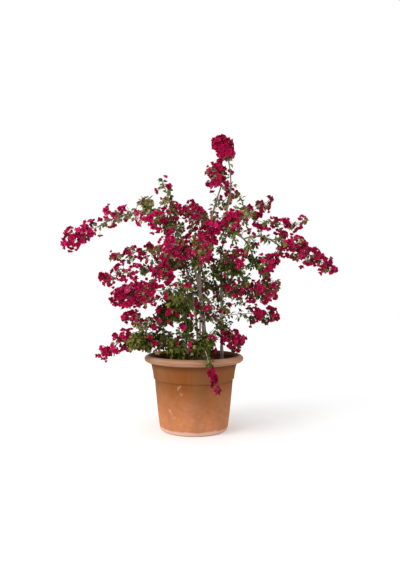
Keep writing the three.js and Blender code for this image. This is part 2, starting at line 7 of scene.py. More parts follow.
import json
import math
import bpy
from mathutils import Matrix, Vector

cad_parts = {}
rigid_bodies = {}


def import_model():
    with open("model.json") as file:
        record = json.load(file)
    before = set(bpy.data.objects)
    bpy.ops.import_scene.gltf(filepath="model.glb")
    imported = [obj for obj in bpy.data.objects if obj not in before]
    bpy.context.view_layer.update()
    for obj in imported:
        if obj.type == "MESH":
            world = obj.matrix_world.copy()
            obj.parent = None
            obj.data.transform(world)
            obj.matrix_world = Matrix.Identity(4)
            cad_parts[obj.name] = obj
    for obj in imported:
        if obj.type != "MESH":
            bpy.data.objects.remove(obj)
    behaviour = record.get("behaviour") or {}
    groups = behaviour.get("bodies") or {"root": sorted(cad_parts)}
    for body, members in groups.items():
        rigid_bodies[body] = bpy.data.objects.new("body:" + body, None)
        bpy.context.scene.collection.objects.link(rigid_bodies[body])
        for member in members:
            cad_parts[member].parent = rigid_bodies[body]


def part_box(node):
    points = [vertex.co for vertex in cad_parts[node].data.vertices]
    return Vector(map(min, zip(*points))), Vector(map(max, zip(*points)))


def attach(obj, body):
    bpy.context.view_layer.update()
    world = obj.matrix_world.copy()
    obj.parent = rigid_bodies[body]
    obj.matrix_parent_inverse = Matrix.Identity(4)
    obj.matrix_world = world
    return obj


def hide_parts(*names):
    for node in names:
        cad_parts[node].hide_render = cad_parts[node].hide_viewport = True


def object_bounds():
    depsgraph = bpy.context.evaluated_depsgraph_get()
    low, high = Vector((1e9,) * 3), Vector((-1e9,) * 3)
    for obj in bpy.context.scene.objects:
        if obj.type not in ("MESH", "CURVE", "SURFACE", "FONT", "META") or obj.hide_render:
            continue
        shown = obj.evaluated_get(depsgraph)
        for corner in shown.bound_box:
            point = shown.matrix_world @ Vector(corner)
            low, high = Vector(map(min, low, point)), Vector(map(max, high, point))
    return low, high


bl_info = {
    "name": "Potted bougainvillea",
    "version": (1, 0, 0),
    "blender": (4, 5, 0),
    "location": "View3D > Sidebar > Bougainvillea",
    "description": "Builds a potted bougainvillea round its packed solids, with a plain studio stage",
    "category": "Add Mesh",
}

from collections import namedtuple
from functools import partial

import bmesh
import bpy
import numpy as np
from bpy.props import FloatProperty, FloatVectorProperty, IntProperty, PointerProperty
from mathutils import Matrix, Vector, noise

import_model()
CAD_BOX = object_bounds()
MM = 0.001
MERGE_DISTANCE = 0.01 * MM
TAU = 2 * math.pi
UP = Vector((0, 0, 1))
ACROSS = Vector((1, 0, 0))
EIGHTHS = [i / 8 for i in range(9)]

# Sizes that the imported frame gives
POT_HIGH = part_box("pot")[1]
SOIL_LOW, SOIL_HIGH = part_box("soil")

# Limbs and masses, in millimetres, as the part's source has them
Stem = namedtuple("Stem", "name root rise tip radii flare")
Bough = namedtuple("Bough", "name parent at tip bend radii")
STRAIGHT = (0, 0, 0)
Mass = namedtuple("Mass", "name parent at tip bare spread twigs bloom bend", defaults=[STRAIGHT])
STEMS = [
    Stem("trunk", (80, 0), 300, (28, 0, 1058), (17, 12), 11),
    Stem("inner_stem", (30, 62), 420, (-58, 70, 1140), (9, 6.5), 4),
    Stem("right_stem", (202, 70), 420, (195, 70, 1256), (11.5, 7.5), 5),
    Stem("left_stem", (-150, -30), 140, (-258, -60, 756), (8, 5.5), 4),
    Stem("front_stem", (-20, -120), 260, (-132, -260, 977), (9, 5.5), 4),
    Stem("back_stem", (40, 150), 280, (70, 320, 1060), (10, 6), 5),
]
BOUGHS = [
    Bough("leader", "trunk", 1, (193, 20, 1715), (-30, 0, 0), (9, 4.8)),
    Bough("spire", "leader", 0.35, (241, 0, 1915), (170, 0, -60), (6, 3.8)),
    Bough("left_limb", "trunk", 0.93, (-182, -60, 1461), (40, 0, 80), (9, 6.5)),
    Bough("left_arm", "left_limb", 1, (-653, -150, 1407), (0, 0, 140), (6.5, 5)),
    Bough("right_limb", "leader", 0.5, (340, -150, 1325), (0, -10, 80), (7.5, 6)),
    Bough("right_arm", "right_limb", 1, (628, -60, 1258), (0, 0, 100), (6, 5)),
    Bough("right_drop", "right_limb", 0.9, (426, -120, 1129), (20, 0, 60), (5.5, 5)),
    Bough("right_high", "right_stem", 1, (354, 60, 1529), (-40, 0, 30), (6.5, 5)),
    Bough("left_mid", "inner_stem", 1, (-315, 30, 1109), (0, 0, 70), (6.5, 5)),
    Bough("front_limb", "trunk", 0.78, (35, -300, 1225), (0, -20, 40), (7, 5.5)),
    Bough("trailing_shoot", "front_stem", 0.09, (96, -378, 500), (25, -40, 190), (4.4, 3.6)),
]
MASSES = [
    Mass("top_ball", "spire", 1, (190, 0, 2035), 0.05, 46, 14, 1),
    Mass("top_cluster", "leader", 1, (155, 10, 1835), 0, 75, 14, 0.8),
    Mass("top_skirt", "leader", 0.75, (281, 50, 1679), 0.2, 42, 5, 0.5),
    Mass("crown_arch", "leader", 0.57, (-55, 60, 1560), 0.35, 60, 8, 0.8, (0, 0, 70)),
    Mass("centre_crown", "leader", 0.42, (122, -170, 1397), 0.2, 60, 7, 0.9),
    Mass("crown_left", "left_limb", 0.65, (-195, 120, 1595), 0.3, 70, 7, 0.85),
    Mass("left_spire", "left_limb", 0.95, (-227, 0, 1740), 0.3, 40, 6, 0.4, (50, 0, 0)),
    Mass("left_shoulder", "left_limb", 0.84, (-298, -240, 1448), 0.25, 75, 8, 0.8),
    Mass("left_heart", "left_limb", 0.4, (-165, -270, 1285), 0.25, 75, 11, 0.8),
    Mass("left_spray_upper", "left_limb", 0.54, (-607, 300, 1232), 0.45, 50, 9, 0.9, (0, 0, 50)),
    Mass("far_left_spray", "left_arm", 1, (-830, -185, 1298), 0.05, 60, 9, 0.95, (0, 0, 30)),
    Mass("left_arm_spray", "left_arm", 0.55, (-582, -210, 1499), 0.25, 28, 4, 0.7),
    Mass("left_tuft", "left_arm", 0.18, (-345, -30, 1605), 0.2, 55, 8, 0.1),
    Mass("centre_high", "right_limb", 0.45, (254, -150, 1465), 0.15, 65, 8, 0.8),
    Mass("right_shoulder", "right_high", 1, (770, -20, 1460), 0.1, 60, 9, 0.85, (0, 0, -90)),
    Mass("right_upper_spray", "right_high", 0.75, (576, 330, 1671), 0.3, 40, 6, 0.6),
    Mass("far_right_spray", "right_arm", 1, (952, -60, 1130), 0.05, 60, 11, 0.85, (0, 0, 60)),
    Mass("right_arm_spray", "right_arm", 0.55, (735, -130, 1290), 0.3, 50, 8, 0.9),
    Mass("right_mid", "right_drop", 1, (514, -170, 1180), 0.1, 55, 7, 0.85),
    Mass("right_low_outer", "right_drop", 0.84, (571, 160, 959), 0.5, 60, 8, 0.75, (30, 0, 30)),
    Mass("centre_right", "right_stem", 0.9, (300, -230, 1120), 0.25, 75, 11, 0.25),
    Mass("right_bank", "right_stem", 0.7, (470, -200, 968), 0.15, 85, 13, 0.75),
    Mass("right_lowest", "right_stem", 0.42, (588, 130, 797), 0.45, 60, 8, 0.75, (0, 0, 30)),
    Mass("right_skirt", "right_stem", 0.22, (297, -170, 640), 0.25, 60, 8, 0.85),
    Mass("centre_heart", "front_limb", 1, (56, -430, 1244), 0, 70, 10, 0.65),
    Mass("left_spray_middle", "left_mid", 1, (-653, 120, 1062), 0.15, 55, 9, 0.95, (0, 0, 40)),
    Mass("left_centre", "left_mid", 0.6, (-190, -190, 1065), 0.25, 60, 7, 0.8),
    Mass("left_bank", "front_stem", 1, (-466, -320, 937), 0.35, 70, 14, 0.92, (0, 0, 20)),
    Mass("inner_left", "front_stem", 0.75, (-200, -150, 830), 0.15, 90, 13, 0.25),
    Mass("inner_right", "trunk", 0.45, (85, -200, 870), 0.3, 60, 5, 0.3),
    Mass("foot_foliage", "front_stem", 0.22, (95, -200, 615), 0.1, 85, 9, 0.2),
    Mass("foot_left", "front_stem", 0.15, (-150, -150, 610), 0.1, 80, 11, 0.15),
    Mass("left_low_spray", "left_stem", 0.86, (-488, 150, 782), 0.25, 50, 8, 0.8),
    Mass("left_skirt", "left_stem", 1, (-623, -130, 540), 0.2, 62, 10, 0.9, (0, 0, 25)),
    Mass("left_green", "left_stem", 0.6, (-390, -190, 640), 0.2, 75, 13, 0.1),
    Mass("trailing_spray", "trailing_shoot", 1, (150, -390, 330), 0.1, 22, 7, 0.7),
    Mass("back_left", "back_stem", 0.85, (-300, 560, 1330), 0.4, 90, 8, 0.75),
    Mass("back_right", "back_stem", 1, (360, 580, 1300), 0.4, 90, 8, 0.75),
    Mass("back_high", "leader", 0.14, (40, 420, 1600), 0.4, 85, 8, 0.7),
    Mass("back_low", "back_stem", 0.55, (-90, 480, 930), 0.35, 90, 7, 0.5),
    Mass("back_low_right", "back_stem", 0.7, (320, 400, 1010), 0.35, 85, 7, 0.65),
]

# The source's rule of growth
SOIL_LEVEL = SOIL_HIGH.z / MM
GAP = 0.3
FLARE_REACH = 45
STEEP = 0.7
CURVE_DIVISIONS = 200
STEM_SHARE = 0.9
STEM_BASE_RADIUS = 6
STEM_TIP_RADIUS = 4.2
TWIG_FACES = 3
TWIG_START = 0.7
SHORTEST_TWIG = 0.7
BLADE_LEAN = math.radians(58)
BLADE_SPACING = 0.26
BLADE_SHIFT = 0.4
SWELL_PART = (0.2, 0.85)
SWELL_POWER = 0.6
GOLDEN_ANGLE = math.pi * (3 - math.sqrt(5))
TWIG_LEANS = (math.radians(78), math.radians(34))

# The finer growth, in millimetres, radians and shares of a length or a size
FINE_SEED = 1000
SEED_STEP = 7919
MASS_MARGIN = 34
POT_PASSING = 6
NEARLY_UPRIGHT = 0.95
STALK_SHARE = 0.5
STALK_SIDES = 6
STALK_FIRST = 0.1
STALK_SHOOTS = (22, (18, 45), 0.12)
SHOOT_RADII = (1.3, 1, 0.8)
SHOOT_SIDES = 4
SHOOT_DROOP = (-0.22, 0.08)
SHOOT_BOW = 0.07
TIP_ROOM = 3
PEDICEL_RADII = (0.7, 0.5)
PEDICEL_SIDES = 3
PEDICEL_LENGTHS = (5, 18)
BLADE_SHOOT_LENGTHS = (14, 34)
SIDE_LEAN = 0.95
SIDE_PART = (0.25, 0.95)
LIMB_LEANS = (0.7, 1.25)
BRANCHING_LENGTH = 45
BRANCH_SPACING = 30
SHORTEST_BRANCH = 20
BRANCH_SHARE = 0.6
TWIG_STRETCH = (0.5, 1.5)
TWIG_BLOOM = (0.6, 1.15)
TWIG_BRANCHES = (0.35, 0.75)
FILLING = 1.25
CROWDED_PART = (0.12, 0.86)
LEAFY_PART = 0.15
LEAF_LEAN = 0.95
LEAF_DROOP = (-0.9, 0.15)
LEAF_SIZES = (0.7, 1.15)
LEAF_TAPER = (1.1, 0.8)
LEAF_PLACE = 0.8
LEAF_ROLL = 1.2
LEAF_MIDDLE = 0.6
LEAF_GIRTH = 0.35
FLOWER_SIZES = (0.72, 1.1)
FLOWER_MIDDLE = 0.5
FLOWER_GIRTH = 0.55
BUNCH_LEANS = (0.25, 1.15)
BUNCH_SWAY = 0.2
LARGE_BUNCH = 9
SMALL_BUNCH = 5
LIMB_BUNCH = 2
SAME_TINT = 0.7
BLOSSOM_SHARE = 0.1

# Fine shoots on each twig of a mass, where the photograph's spray is fuller or thinner than most
FULLNESS = {
    "top_ball": 7,
    "top_cluster": 2,
    "top_skirt": 2,
    "inner_left": 5,
    "left_centre": 2,
    "foot_foliage": 5,
    "foot_left": 5,
    "left_green": 5,
    "left_spire": 1,
    "left_tuft": 2,
    "left_arm_spray": 0,
    "inner_right": 0,
    "trailing_spray": 2,
    "left_bank": 6,
    "far_left_spray": 5,
    "far_right_spray": 4,
    "right_lowest": 4,
}
# Sprays whose flowers crowd in fuller bunches
DENSE = {"top_ball", "left_bank", "far_left_spray", "far_right_spray"}
# Sprays in the full light, with fresher bracts, dealt bright magenta more often, partly as painted light
FRESH_AND_LIT = {"far_left_spray", "left_arm_spray", "left_spire", "left_shoulder", "centre_heart"}
# Sprays that hang in the shade of the crown, dealt deeper bracts and darker leaves as painted shade
SHADED = {
    "right_bank", "right_lowest", "right_skirt", "inner_left", "inner_right", "centre_right",
    "trailing_spray",
}
# Sprays that keep close to their stem, with the share of a shoot's length that theirs have
SLENDER = {"trailing_spray": 0.3}
# Leafy masses low in the crown, with older leaves; their darker leaves and deeper bracts are partly painted
# shade
LEAFY = {"foot_foliage", "foot_left", "left_green"}

# Shoots along the limbs: where they start and end on the limb, their spacing, lengths and share in bloom.
# A limb may have more than one run of them.
Side = namedtuple("Side", "limb first last spacing lengths bloom")
SIDE_SHOOTS = [
    Side("trunk", 0.78, 0.98, 30, (25, 60), 0.1),
    Side("inner_stem", 0.5, 1, 34, (35, 110), 0.15),
    Side("right_stem", 0.2, 1, 25, (35, 120), 0.15),
    Side("left_stem", 0.3, 1, 17, (35, 100), 0.1),
    Side("front_stem", 0.2, 1, 22, (35, 120), 0.2),
    Side("back_stem", 0.7, 1, 36, (50, 120), 0.4),
    Side("leader", 0.05, 0.9, 24, (18, 50), 0.4),
    Side("spire", 0.35, 0.95, 42, (14, 28), 0.2),
    Side("left_limb", 0.2, 1, 34, (40, 115), 0.2),
    Side("left_arm", 0.05, 1, 19, (22, 50), 0.3),
    Side("right_limb", 0.1, 0.85, 36, (30, 80), 0.2),
    Side("right_arm", 0.05, 1, 24, (22, 50), 0.3),
    Side("right_drop", 0.1, 1, 26, (30, 90), 0.25),
    Side("right_high", 0.4, 1, 18, (40, 110), 0.15),
    Side("left_mid", 0.05, 1, 40, (40, 105), 0.45),
    Side("front_limb", 0.5, 1, 34, (40, 110), 0.15),
    Side("trailing_shoot", 0.1, 0.98, 8, (12, 26), 0.0),
    Side("left_limb", 0.4, 0.6, 24, (40, 105), 0.85),
    Side("front_stem", 0.4, 1, 44, (70, 135), 0.5),
    Side("front_limb", 0.85, 1, 10, (60, 115), 0.75),
    Side("left_mid", 0.25, 0.9, 20, (55, 125), 0.6),
    Side("right_arm", 0.82, 1, 10, (20, 50), 0.9),
]

# Scratches on the pot's wall, each a line between two (across, up) places on its front, in millimetres
SCUFFS = [
    ((-88, 342), (-108, 313)),
    ((-108, 313), (-84, 285)),
    ((-168, 172), (-128, 122)),
    ((-150, 140), (-138, 112)),
]
# The pot's section, in millimetres
UNDERSIDE = (0, 60, 140, 200)
FOOT_RADIUS = 241
FOOT_BEVEL = 18
BODY_RADIUS = 275
BODY_HEIGHT = 344
WALL_BULGE = 2.5
COLLAR = [(286.5, 382), (289, 400), (293, 420), (298, 442), (303, 462)]
INNER_RIM = 286
INNER_TOP = 482
FLOOR_THICKNESS = 32
FLOOR_RADII = (100, 0)
SOIL_EDGE = 441
# Arcs of the section: centre, radii, first and last angle in degrees, and steps
FOOT_EDGE = ((FOOT_RADIUS - FOOT_BEVEL, FOOT_BEVEL), (FOOT_BEVEL, FOOT_BEVEL), -90, 0, 5)
GROOVE = ((BODY_RADIUS + 1, BODY_HEIGHT + 6), (4, 5), 250, 110, 4)
COLLAR_FOOT = ((BODY_RADIUS, BODY_HEIGHT + 20), (10, 9), -75, 10, 4)
RIM_TURN = (-100, 190, 24)
# Where the colours of the clay and the bark change, in metres
RIM_SHADOW = 45 * MM
RIM_EDGE = 3 * MM
LIP = (330 * MM, 308 * MM)
LIP_RISE = 14 * MM
INNER_WALL = ((INNER_RIM + 10) * MM, (INNER_RIM + 3) * MM)
SOIL_LINE = ((SOIL_EDGE - 11) * MM, (SOIL_EDGE - 1) * MM)
FOOT_BLOOM = (53 * MM, 43 * MM)
SCUFF_WIDTHS = (31 * MM, 24 * MM)
DAMP_BARK = 130 * MM
# Heights over which the crown's shade is painted on the bark
CROWN_SHADE_BARK = (780 * MM, 1000 * MM)

# Bumps of the pot and lumps of the soil: a noise's scale to the metre, and its height in millimetres
POT_BUMPS = [(7, 1.2), (40, 0.3)]
SOIL_LUMPS = [(28, 5), (70, 3)]
# Chips off the foot: where they are, how rare, how close together and how deep
PLAIN_RADIUS = 150
CHIP_RADIUS = 215
CHIP_TOP = 24
CHIP_RARITY = 0.25
CHIP_SCALE = 23
CHIP_DEPTH = 22

# The soil and its crumbs
SOIL_STEPS = 24
SOIL_SEGMENTS = 72
SOIL_FALL = 3
SOIL_GAP = 1
SOIL_SINK = 3
SOIL_RISE = 0.5
SOIL_MARGIN = 6
SURFACE_MARGIN = 5
CRUMBS = 420
CRUMB_SEED = 77
CRUMB_REACH = 255
CRUMB_SIZES = (2.5, 8)
CRUMB_UNEVEN = (0.75, 1.25)
CRUMB_FLATNESS = 0.7
CRUMB_SINK = 2

# Bark: facets and rings of a limb, and its swollen old leaf joints, in millimetres
THICK_LIMB = 12
THICK_SIDES = 20
THIN_SIDES = 14
RING_SPACING = 5
FEWEST_RINGS = 12
JOINT_SPACING = 74
JOINT_HEIGHT = 0.12
JOINT_SHARPNESS = 8
# Ridges of the bark: each noise's share, its scale across the limb and its length along it
RIDGES = [(1, 1.6, 26), (0.6, 4, 11)]
RIDGE_STEP = 5.3

# The stage, in metres, and the camera's sensor in millimetres
FLOOR_REACH = 40
LAMP_SIZE = 2.6
LAMP_PLACE = (-3.4, -2.4, 2.9)
LAMP_AIM = (0, 0, 1)
SENSOR_WIDTH = 36


def linear(code):
    """An sRGB hex colour as linear red, green and blue."""
    values = [int(code[i : i + 2], 16) / 255 for i in (1, 3, 5)]
    return tuple(v / 12.92 if v <= 0.04045 else ((v + 0.055) / 1.055) ** 2.4 for v in values)


def lerp(first, last, share):
    return first + (last - first) * share


def length_setting(name, description, millimetres):
    """A length that a user may change."""
    return FloatProperty(name=name, description=description, default=millimetres * MM, unit="LENGTH")


def colour_setting(name, description, code):
    """A colour that a user may change."""
    return FloatVectorProperty(name=name, description=description, default=linear(code), subtype="COLOR")


class PotSettings(bpy.types.PropertyGroup):
    """Sizes and colours of the pot and its soil."""

    rim_width: length_setting("Rim width", "Width of the rolled rim's section", 66)
    rim_depth: length_setting("Rim depth", "Height of the rolled rim's section", 49)
    wall: length_setting("Wall", "Thickness of the pot's wall", 27)
    segments: IntProperty(name="Segments", description="Facets round the pot", default=144, min=24)
    upper_clay: colour_setting("Upper clay", "Clay under the rim", "#7f481f")
    # Paler, pinker clay towards the foot
    lower_clay: colour_setting("Lower clay", "Paler clay near the foot", "#b9744a")
    rim_clay: colour_setting("Rim clay", "Weathered clay on the rim", "#9c6e52")
    grey_clay: colour_setting("Streaks", "Greyer streaks down the wall", "#86664c")
    lime_bloom: colour_setting("Lime bloom", "Pale salts at the foot and on scratches", "#e0c4b4")
    # Damp staining with painted shade inside the wall, and the painted shadow under the rim
    damp_and_shade_clay: colour_setting("Damp and shaded clay", "Dark inside of the wall", "#4c2c1b")
    soil_colour: colour_setting("Soil", "Damp potting soil", "#140d09")
    dry_soil: colour_setting("Dry soil", "Drier crumbs of the soil", "#30221a")


class PlantSettings(bpy.types.PropertyGroup):
    """Sizes and colours of the stems, leaves and bracts."""

    bract_length: length_setting("Bract length", "Length of one bract", 24.5)
    leaf_length: length_setting("Leaf length", "Length of a leaf with its stalk", 41)
    leaf_spacing: length_setting("Leaf spacing", "Distance between leaves on a shoot", 9)
    fine_shoots: IntProperty(
        name="Fine shoots", description="Side shoots on each twig of most masses", default=3, min=0
    )
    bark_relief: FloatProperty(
        name="Bark relief", description="Depth of the bark's ridges as a share of a limb's radius",
        default=0.16, subtype="FACTOR",
    )
    bark_light: colour_setting("Bark ridges", "Weathered ridges of the bark", "#c6b2a5")
    # Also painted as the crown's shade on the upper bark
    bark_dark: colour_setting("Bark furrows", "Furrows of the bark", "#4a3d32")
    twig_colour: colour_setting("Twigs", "Young olive-brown twigs", "#655634")
    bract_crimson: colour_setting("Crimson bracts", "Most of the bracts", "#b6124c")
    # Older bracts, also dealt to shaded and low sprays as painted shade
    bract_deep: colour_setting("Deep bracts", "Older, darker bracts", "#980e39")
    # Dealt most to sprays in the full light, partly as painted light
    bract_magenta: colour_setting("Magenta bracts", "Fresh bracts", "#c1165b")
    bract_rose: colour_setting("Rose bracts", "Faded bracts", "#b0285a")
    bract_vein: colour_setting("Bract veins", "Deeper midrib and mottling of the bracts", "#5e0221")
    leaf_olive: colour_setting("Olive leaves", "Most of the leaves", "#686b2b")
    # Older leaves, also dealt inside the crown and low down as painted shade
    leaf_dark: colour_setting("Dark leaves", "Old leaves inside the crown", "#353f0d")
    leaf_fresh: colour_setting("Fresh leaves", "Yellow-green leaves", "#98935c")
    leaf_young: colour_setting("Young leaves", "Bronze leaves at the tips", "#957a60")
    leaf_shade: colour_setting("Leaf mottling", "Darker green between the veins", "#2b3414")
    leaf_rib: colour_setting("Leaf midribs", "Paler midribs of the leaves", "#a9aa6c")
    blossom: colour_setting("Blossom", "Small true flowers", "#e8d9c6")
    blossom_green: colour_setting("Green blossom", "Greener parts of the true flowers", "#c9be90")


class StageSettings(bpy.types.PropertyGroup):
    """Camera, lights and floor."""

    distance: length_setting("Distance", "Camera's distance in front of the pot", 3600)
    height: length_setting("Height", "Camera's height over the floor", 940)
    lens: FloatProperty(name="Lens", description="Focal length", default=32.02, unit="CAMERA")
    shift_x: FloatProperty(
        name="Shift across", description="Puts the pot left of the middle", default=0.0107
    )
    shift_y: FloatProperty(name="Shift up", description="Puts the horizon under the middle", default=0.0186)
    key_power: FloatProperty(
        name="Key light", description="Power of the soft key light", default=120, unit="POWER"
    )
    sky: FloatProperty(name="Sky", description="Strength of the even studio light", default=1.0)
    floor_colour: colour_setting("Floor", "Pale studio floor", "#ffffff")


# Materials

# The output and setting of a Mix node for colours, whose inputs are 0 for the share, 6 and 7
MIX = {"out": 2, "data_type": "RGBA"}


def add_node(tree, kind, inputs=None, out=0, **settings):
    """Adds a node with its settings, sets or links its inputs, and gives back one of its outputs."""
    made = tree.nodes.new(kind)
    for name, value in settings.items():
        setattr(made, name, value)
    for name, value in (inputs or {}).items():
        socket = made.inputs[name]
        if isinstance(value, bpy.types.NodeSocket):
            tree.links.new(value, socket)
        else:
            socket.default_value = (*value, 1) if socket.type == "RGBA" else value
    return made.outputs[out] if len(made.outputs) else None


def new_material(name, surface, *settings):
    """A material of the nodes that the function surface adds, which gives back their shader."""
    material = bpy.data.materials.new(name)
    material.use_nodes = True
    material.node_tree.nodes.clear()
    node = partial(add_node, material.node_tree)
    node("ShaderNodeOutputMaterial", {"Surface": surface(node, *settings)})
    return material


def wall_radius(share):
    """The radius of the pot's wall between its foot and its groove, in millimetres."""
    return lerp(FOOT_RADIUS, BODY_RADIUS, share) + WALL_BULGE * math.sin(math.pi * share)


def wall_point(place):
    """A point on the front of the pot's outer wall, in metres, from its (across, up) place."""
    sideways, up = place
    radius = wall_radius(up / BODY_HEIGHT)
    return Vector((sideways, -math.sqrt(radius**2 - sideways**2), up)) * MM


def fired_terracotta(node, pot):
    """Terracotta, turned and fired.

    A matte warm clay with a painted shadow under the rim, paler and pinker towards the foot, greyer
    streaks, fine wheel marks, a pale bloom of salts on the foot and scratches, a darker inner half on the
    rim's top, and a dark inside that is damp staining with painted shade.
    """
    place = node("ShaderNodeTexCoord", out="Object")
    height = node("ShaderNodeSeparateXYZ", {0: place}, out=2)
    level = node("ShaderNodeVectorMath", {0: place, 1: (1, 1, 0)}, operation="MULTIPLY")
    radius = node("ShaderNodeVectorMath", {0: level}, out=1, operation="LENGTH")
    patches = node("ShaderNodeTexNoise", {"Vector": place, "Scale": 1 / (190 * MM), "Detail": 4})
    tall = node("ShaderNodeMapping", {"Vector": place, "Scale": (1, 1, 0.16)})
    streaks = node(
        "ShaderNodeTexNoise", {"Vector": tall, "Scale": 1 / (130 * MM), "Detail": 6, "Distortion": 0.6}
    )
    wide = node("ShaderNodeMapping", {"Vector": place, "Scale": (0.06, 0.06, 1)})
    wheel = node("ShaderNodeTexNoise", {"Vector": wide, "Scale": 1 / (10 * MM), "Detail": 3})
    # Real grit is finer: this is as coarse as it needs to show
    grit = node("ShaderNodeTexNoise", {"Vector": place, "Scale": 1 / (4 * MM), "Detail": 5})
    flakes = node("ShaderNodeTexNoise", {"Vector": place, "Scale": 1 / (30 * MM), "Detail": 6})

    # The clay turns paler and pinker towards the foot
    drift = node("ShaderNodeMath", {0: patches, 1: 0.2, 2: height}, operation="MULTIPLY_ADD")
    paler_low = node("ShaderNodeMapRange", {0: drift, 1: 0.43, 2: 0.19})
    streaked = node("ShaderNodeMapRange", {0: streaks, 1: 0.4, 2: 0.68, 4: 0.4})
    flaky = node("ShaderNodeMapRange", {0: flakes, 1: 0.4, 2: 0.75, 4: 0.12})
    salty = node("ShaderNodeMath", {0: flaky, 1: paler_low}, operation="MULTIPLY")

    rim_foot = POT_HIGH.z - pot.rim_depth
    rim_middle = POT_HIGH.z - pot.rim_depth / 2
    # Painted shadow under the rolled rim, deepest at the rim's underside
    painted_rim_shadow = node("ShaderNodeMapRange", {0: height, 1: rim_foot - RIM_SHADOW, 2: rim_foot, 4: 0.68})
    on_rim = node("ShaderNodeMapRange", {0: height, 1: rim_foot - RIM_EDGE, 2: rim_foot + RIM_EDGE})
    handled = node("ShaderNodeMapRange", {0: patches, 1: 0.35, 2: 0.65, 4: 0.55})
    rim = node("ShaderNodeMix", {0: handled, 6: pot.rim_clay, 7: pot.grey_clay}, **MIX)
    chalky = node("ShaderNodeMapRange", {0: wheel, 1: 0.42, 2: 0.66, 4: 0.22})
    rim = node("ShaderNodeMix", {0: chalky, 6: rim, 7: pot.lime_bloom}, **MIX)

    ragged = node("ShaderNodeMath", {0: grit, 1: 0.012, 2: height}, operation="MULTIPLY_ADD")
    ragged = node("ShaderNodeMath", {0: streaks, 1: 0.03, 2: ragged}, operation="MULTIPLY_ADD")
    at_foot = node("ShaderNodeMapRange", {0: ragged, 1: FOOT_BLOOM[0], 2: FOOT_BLOOM[1], 4: 0.58})

    scuffs = []
    outer, inner = SCUFF_WIDTHS
    for start, end in SCUFFS:
        head = wall_point(start)
        span = wall_point(end) - head
        aim = span / span.length_squared
        offset = node("ShaderNodeVectorMath", {0: place, 1: head}, operation="SUBTRACT")
        along = node("ShaderNodeVectorMath", {0: offset, 1: aim}, 1, operation="DOT_PRODUCT")
        along = node("ShaderNodeClamp", {0: along})
        nearest = node("ShaderNodeVectorMath", {0: span, "Scale": along}, operation="SCALE")
        away = node("ShaderNodeVectorMath", {0: offset, 1: nearest}, 1, operation="DISTANCE")
        broken = node("ShaderNodeMath", {0: flakes, 1: 0.05, 2: away}, operation="MULTIPLY_ADD")
        scuffs.append(node("ShaderNodeMapRange", {0: broken, 1: outer, 2: inner, 4: 0.26}))

    # The rim's inner top half is darker; the inner wall above the soil is damp staining with painted shade
    inward = node("ShaderNodeMapRange", {0: radius, 1: LIP[0], 2: LIP[1]})
    on_top = node("ShaderNodeMapRange", {0: height, 1: rim_middle, 2: rim_middle + LIP_RISE})
    on_lip = node("ShaderNodeMath", {0: inward, 1: on_top}, operation="MULTIPLY")
    in_wall = node("ShaderNodeMapRange", {0: radius, 1: INNER_WALL[0], 2: INNER_WALL[1]})
    above_soil = node("ShaderNodeMapRange", {0: height, 1: SOIL_LINE[0], 2: SOIL_LINE[1]})
    inside = node("ShaderNodeMath", {0: in_wall, 1: above_soil}, operation="MULTIPLY")
    inside = node("ShaderNodeMath", {0: inside, 1: on_lip}, operation="MAXIMUM")

    coats = [
        (paler_low, pot.lower_clay),
        (streaked, pot.grey_clay),
        (salty, pot.lime_bloom),
        (painted_rim_shadow, pot.damp_and_shade_clay),
        (on_rim, rim),
        (at_foot, pot.lime_bloom),
        *[(scuff, pot.lime_bloom) for scuff in scuffs],
        (inside, pot.damp_and_shade_clay),
    ]
    clay = pot.upper_clay
    for share, coat in coats:
        clay = node("ShaderNodeMix", {0: share, 6: clay, 7: coat}, **MIX)
    rough = node("ShaderNodeMath", {0: wheel, 1: 0.06, 2: grit}, operation="MULTIPLY_ADD")
    bump = node("ShaderNodeBump", {"Height": rough, "Distance": 0.8 * MM, "Strength": 0.6})
    return node(
        "ShaderNodeBsdfPrincipled",
        {"Base Color": clay, "Roughness": 0.9, "Specular IOR Level": 0.08, "Normal": bump},
    )


def potting_soil(node, pot):
    """Damp peaty soil: near black and crumbly, with dull brown crumbs."""
    place = node("ShaderNodeTexCoord", out="Object")
    crumbs = node("ShaderNodeTexNoise", {"Vector": place, "Scale": 1 / (9 * MM), "Detail": 6})
    dry = node("ShaderNodeMapRange", {0: crumbs, 1: 0.45, 2: 0.72})
    colour = node("ShaderNodeMix", {0: dry, 6: pot.soil_colour, 7: pot.dry_soil}, **MIX)
    bump = node("ShaderNodeBump", {"Height": crumbs, "Distance": 4 * MM, "Strength": 0.8})
    return node(
        "ShaderNodeBsdfPrincipled",
        {"Base Color": colour, "Roughness": 0.95, "Specular IOR Level": 0.1, "Normal": bump},
    )


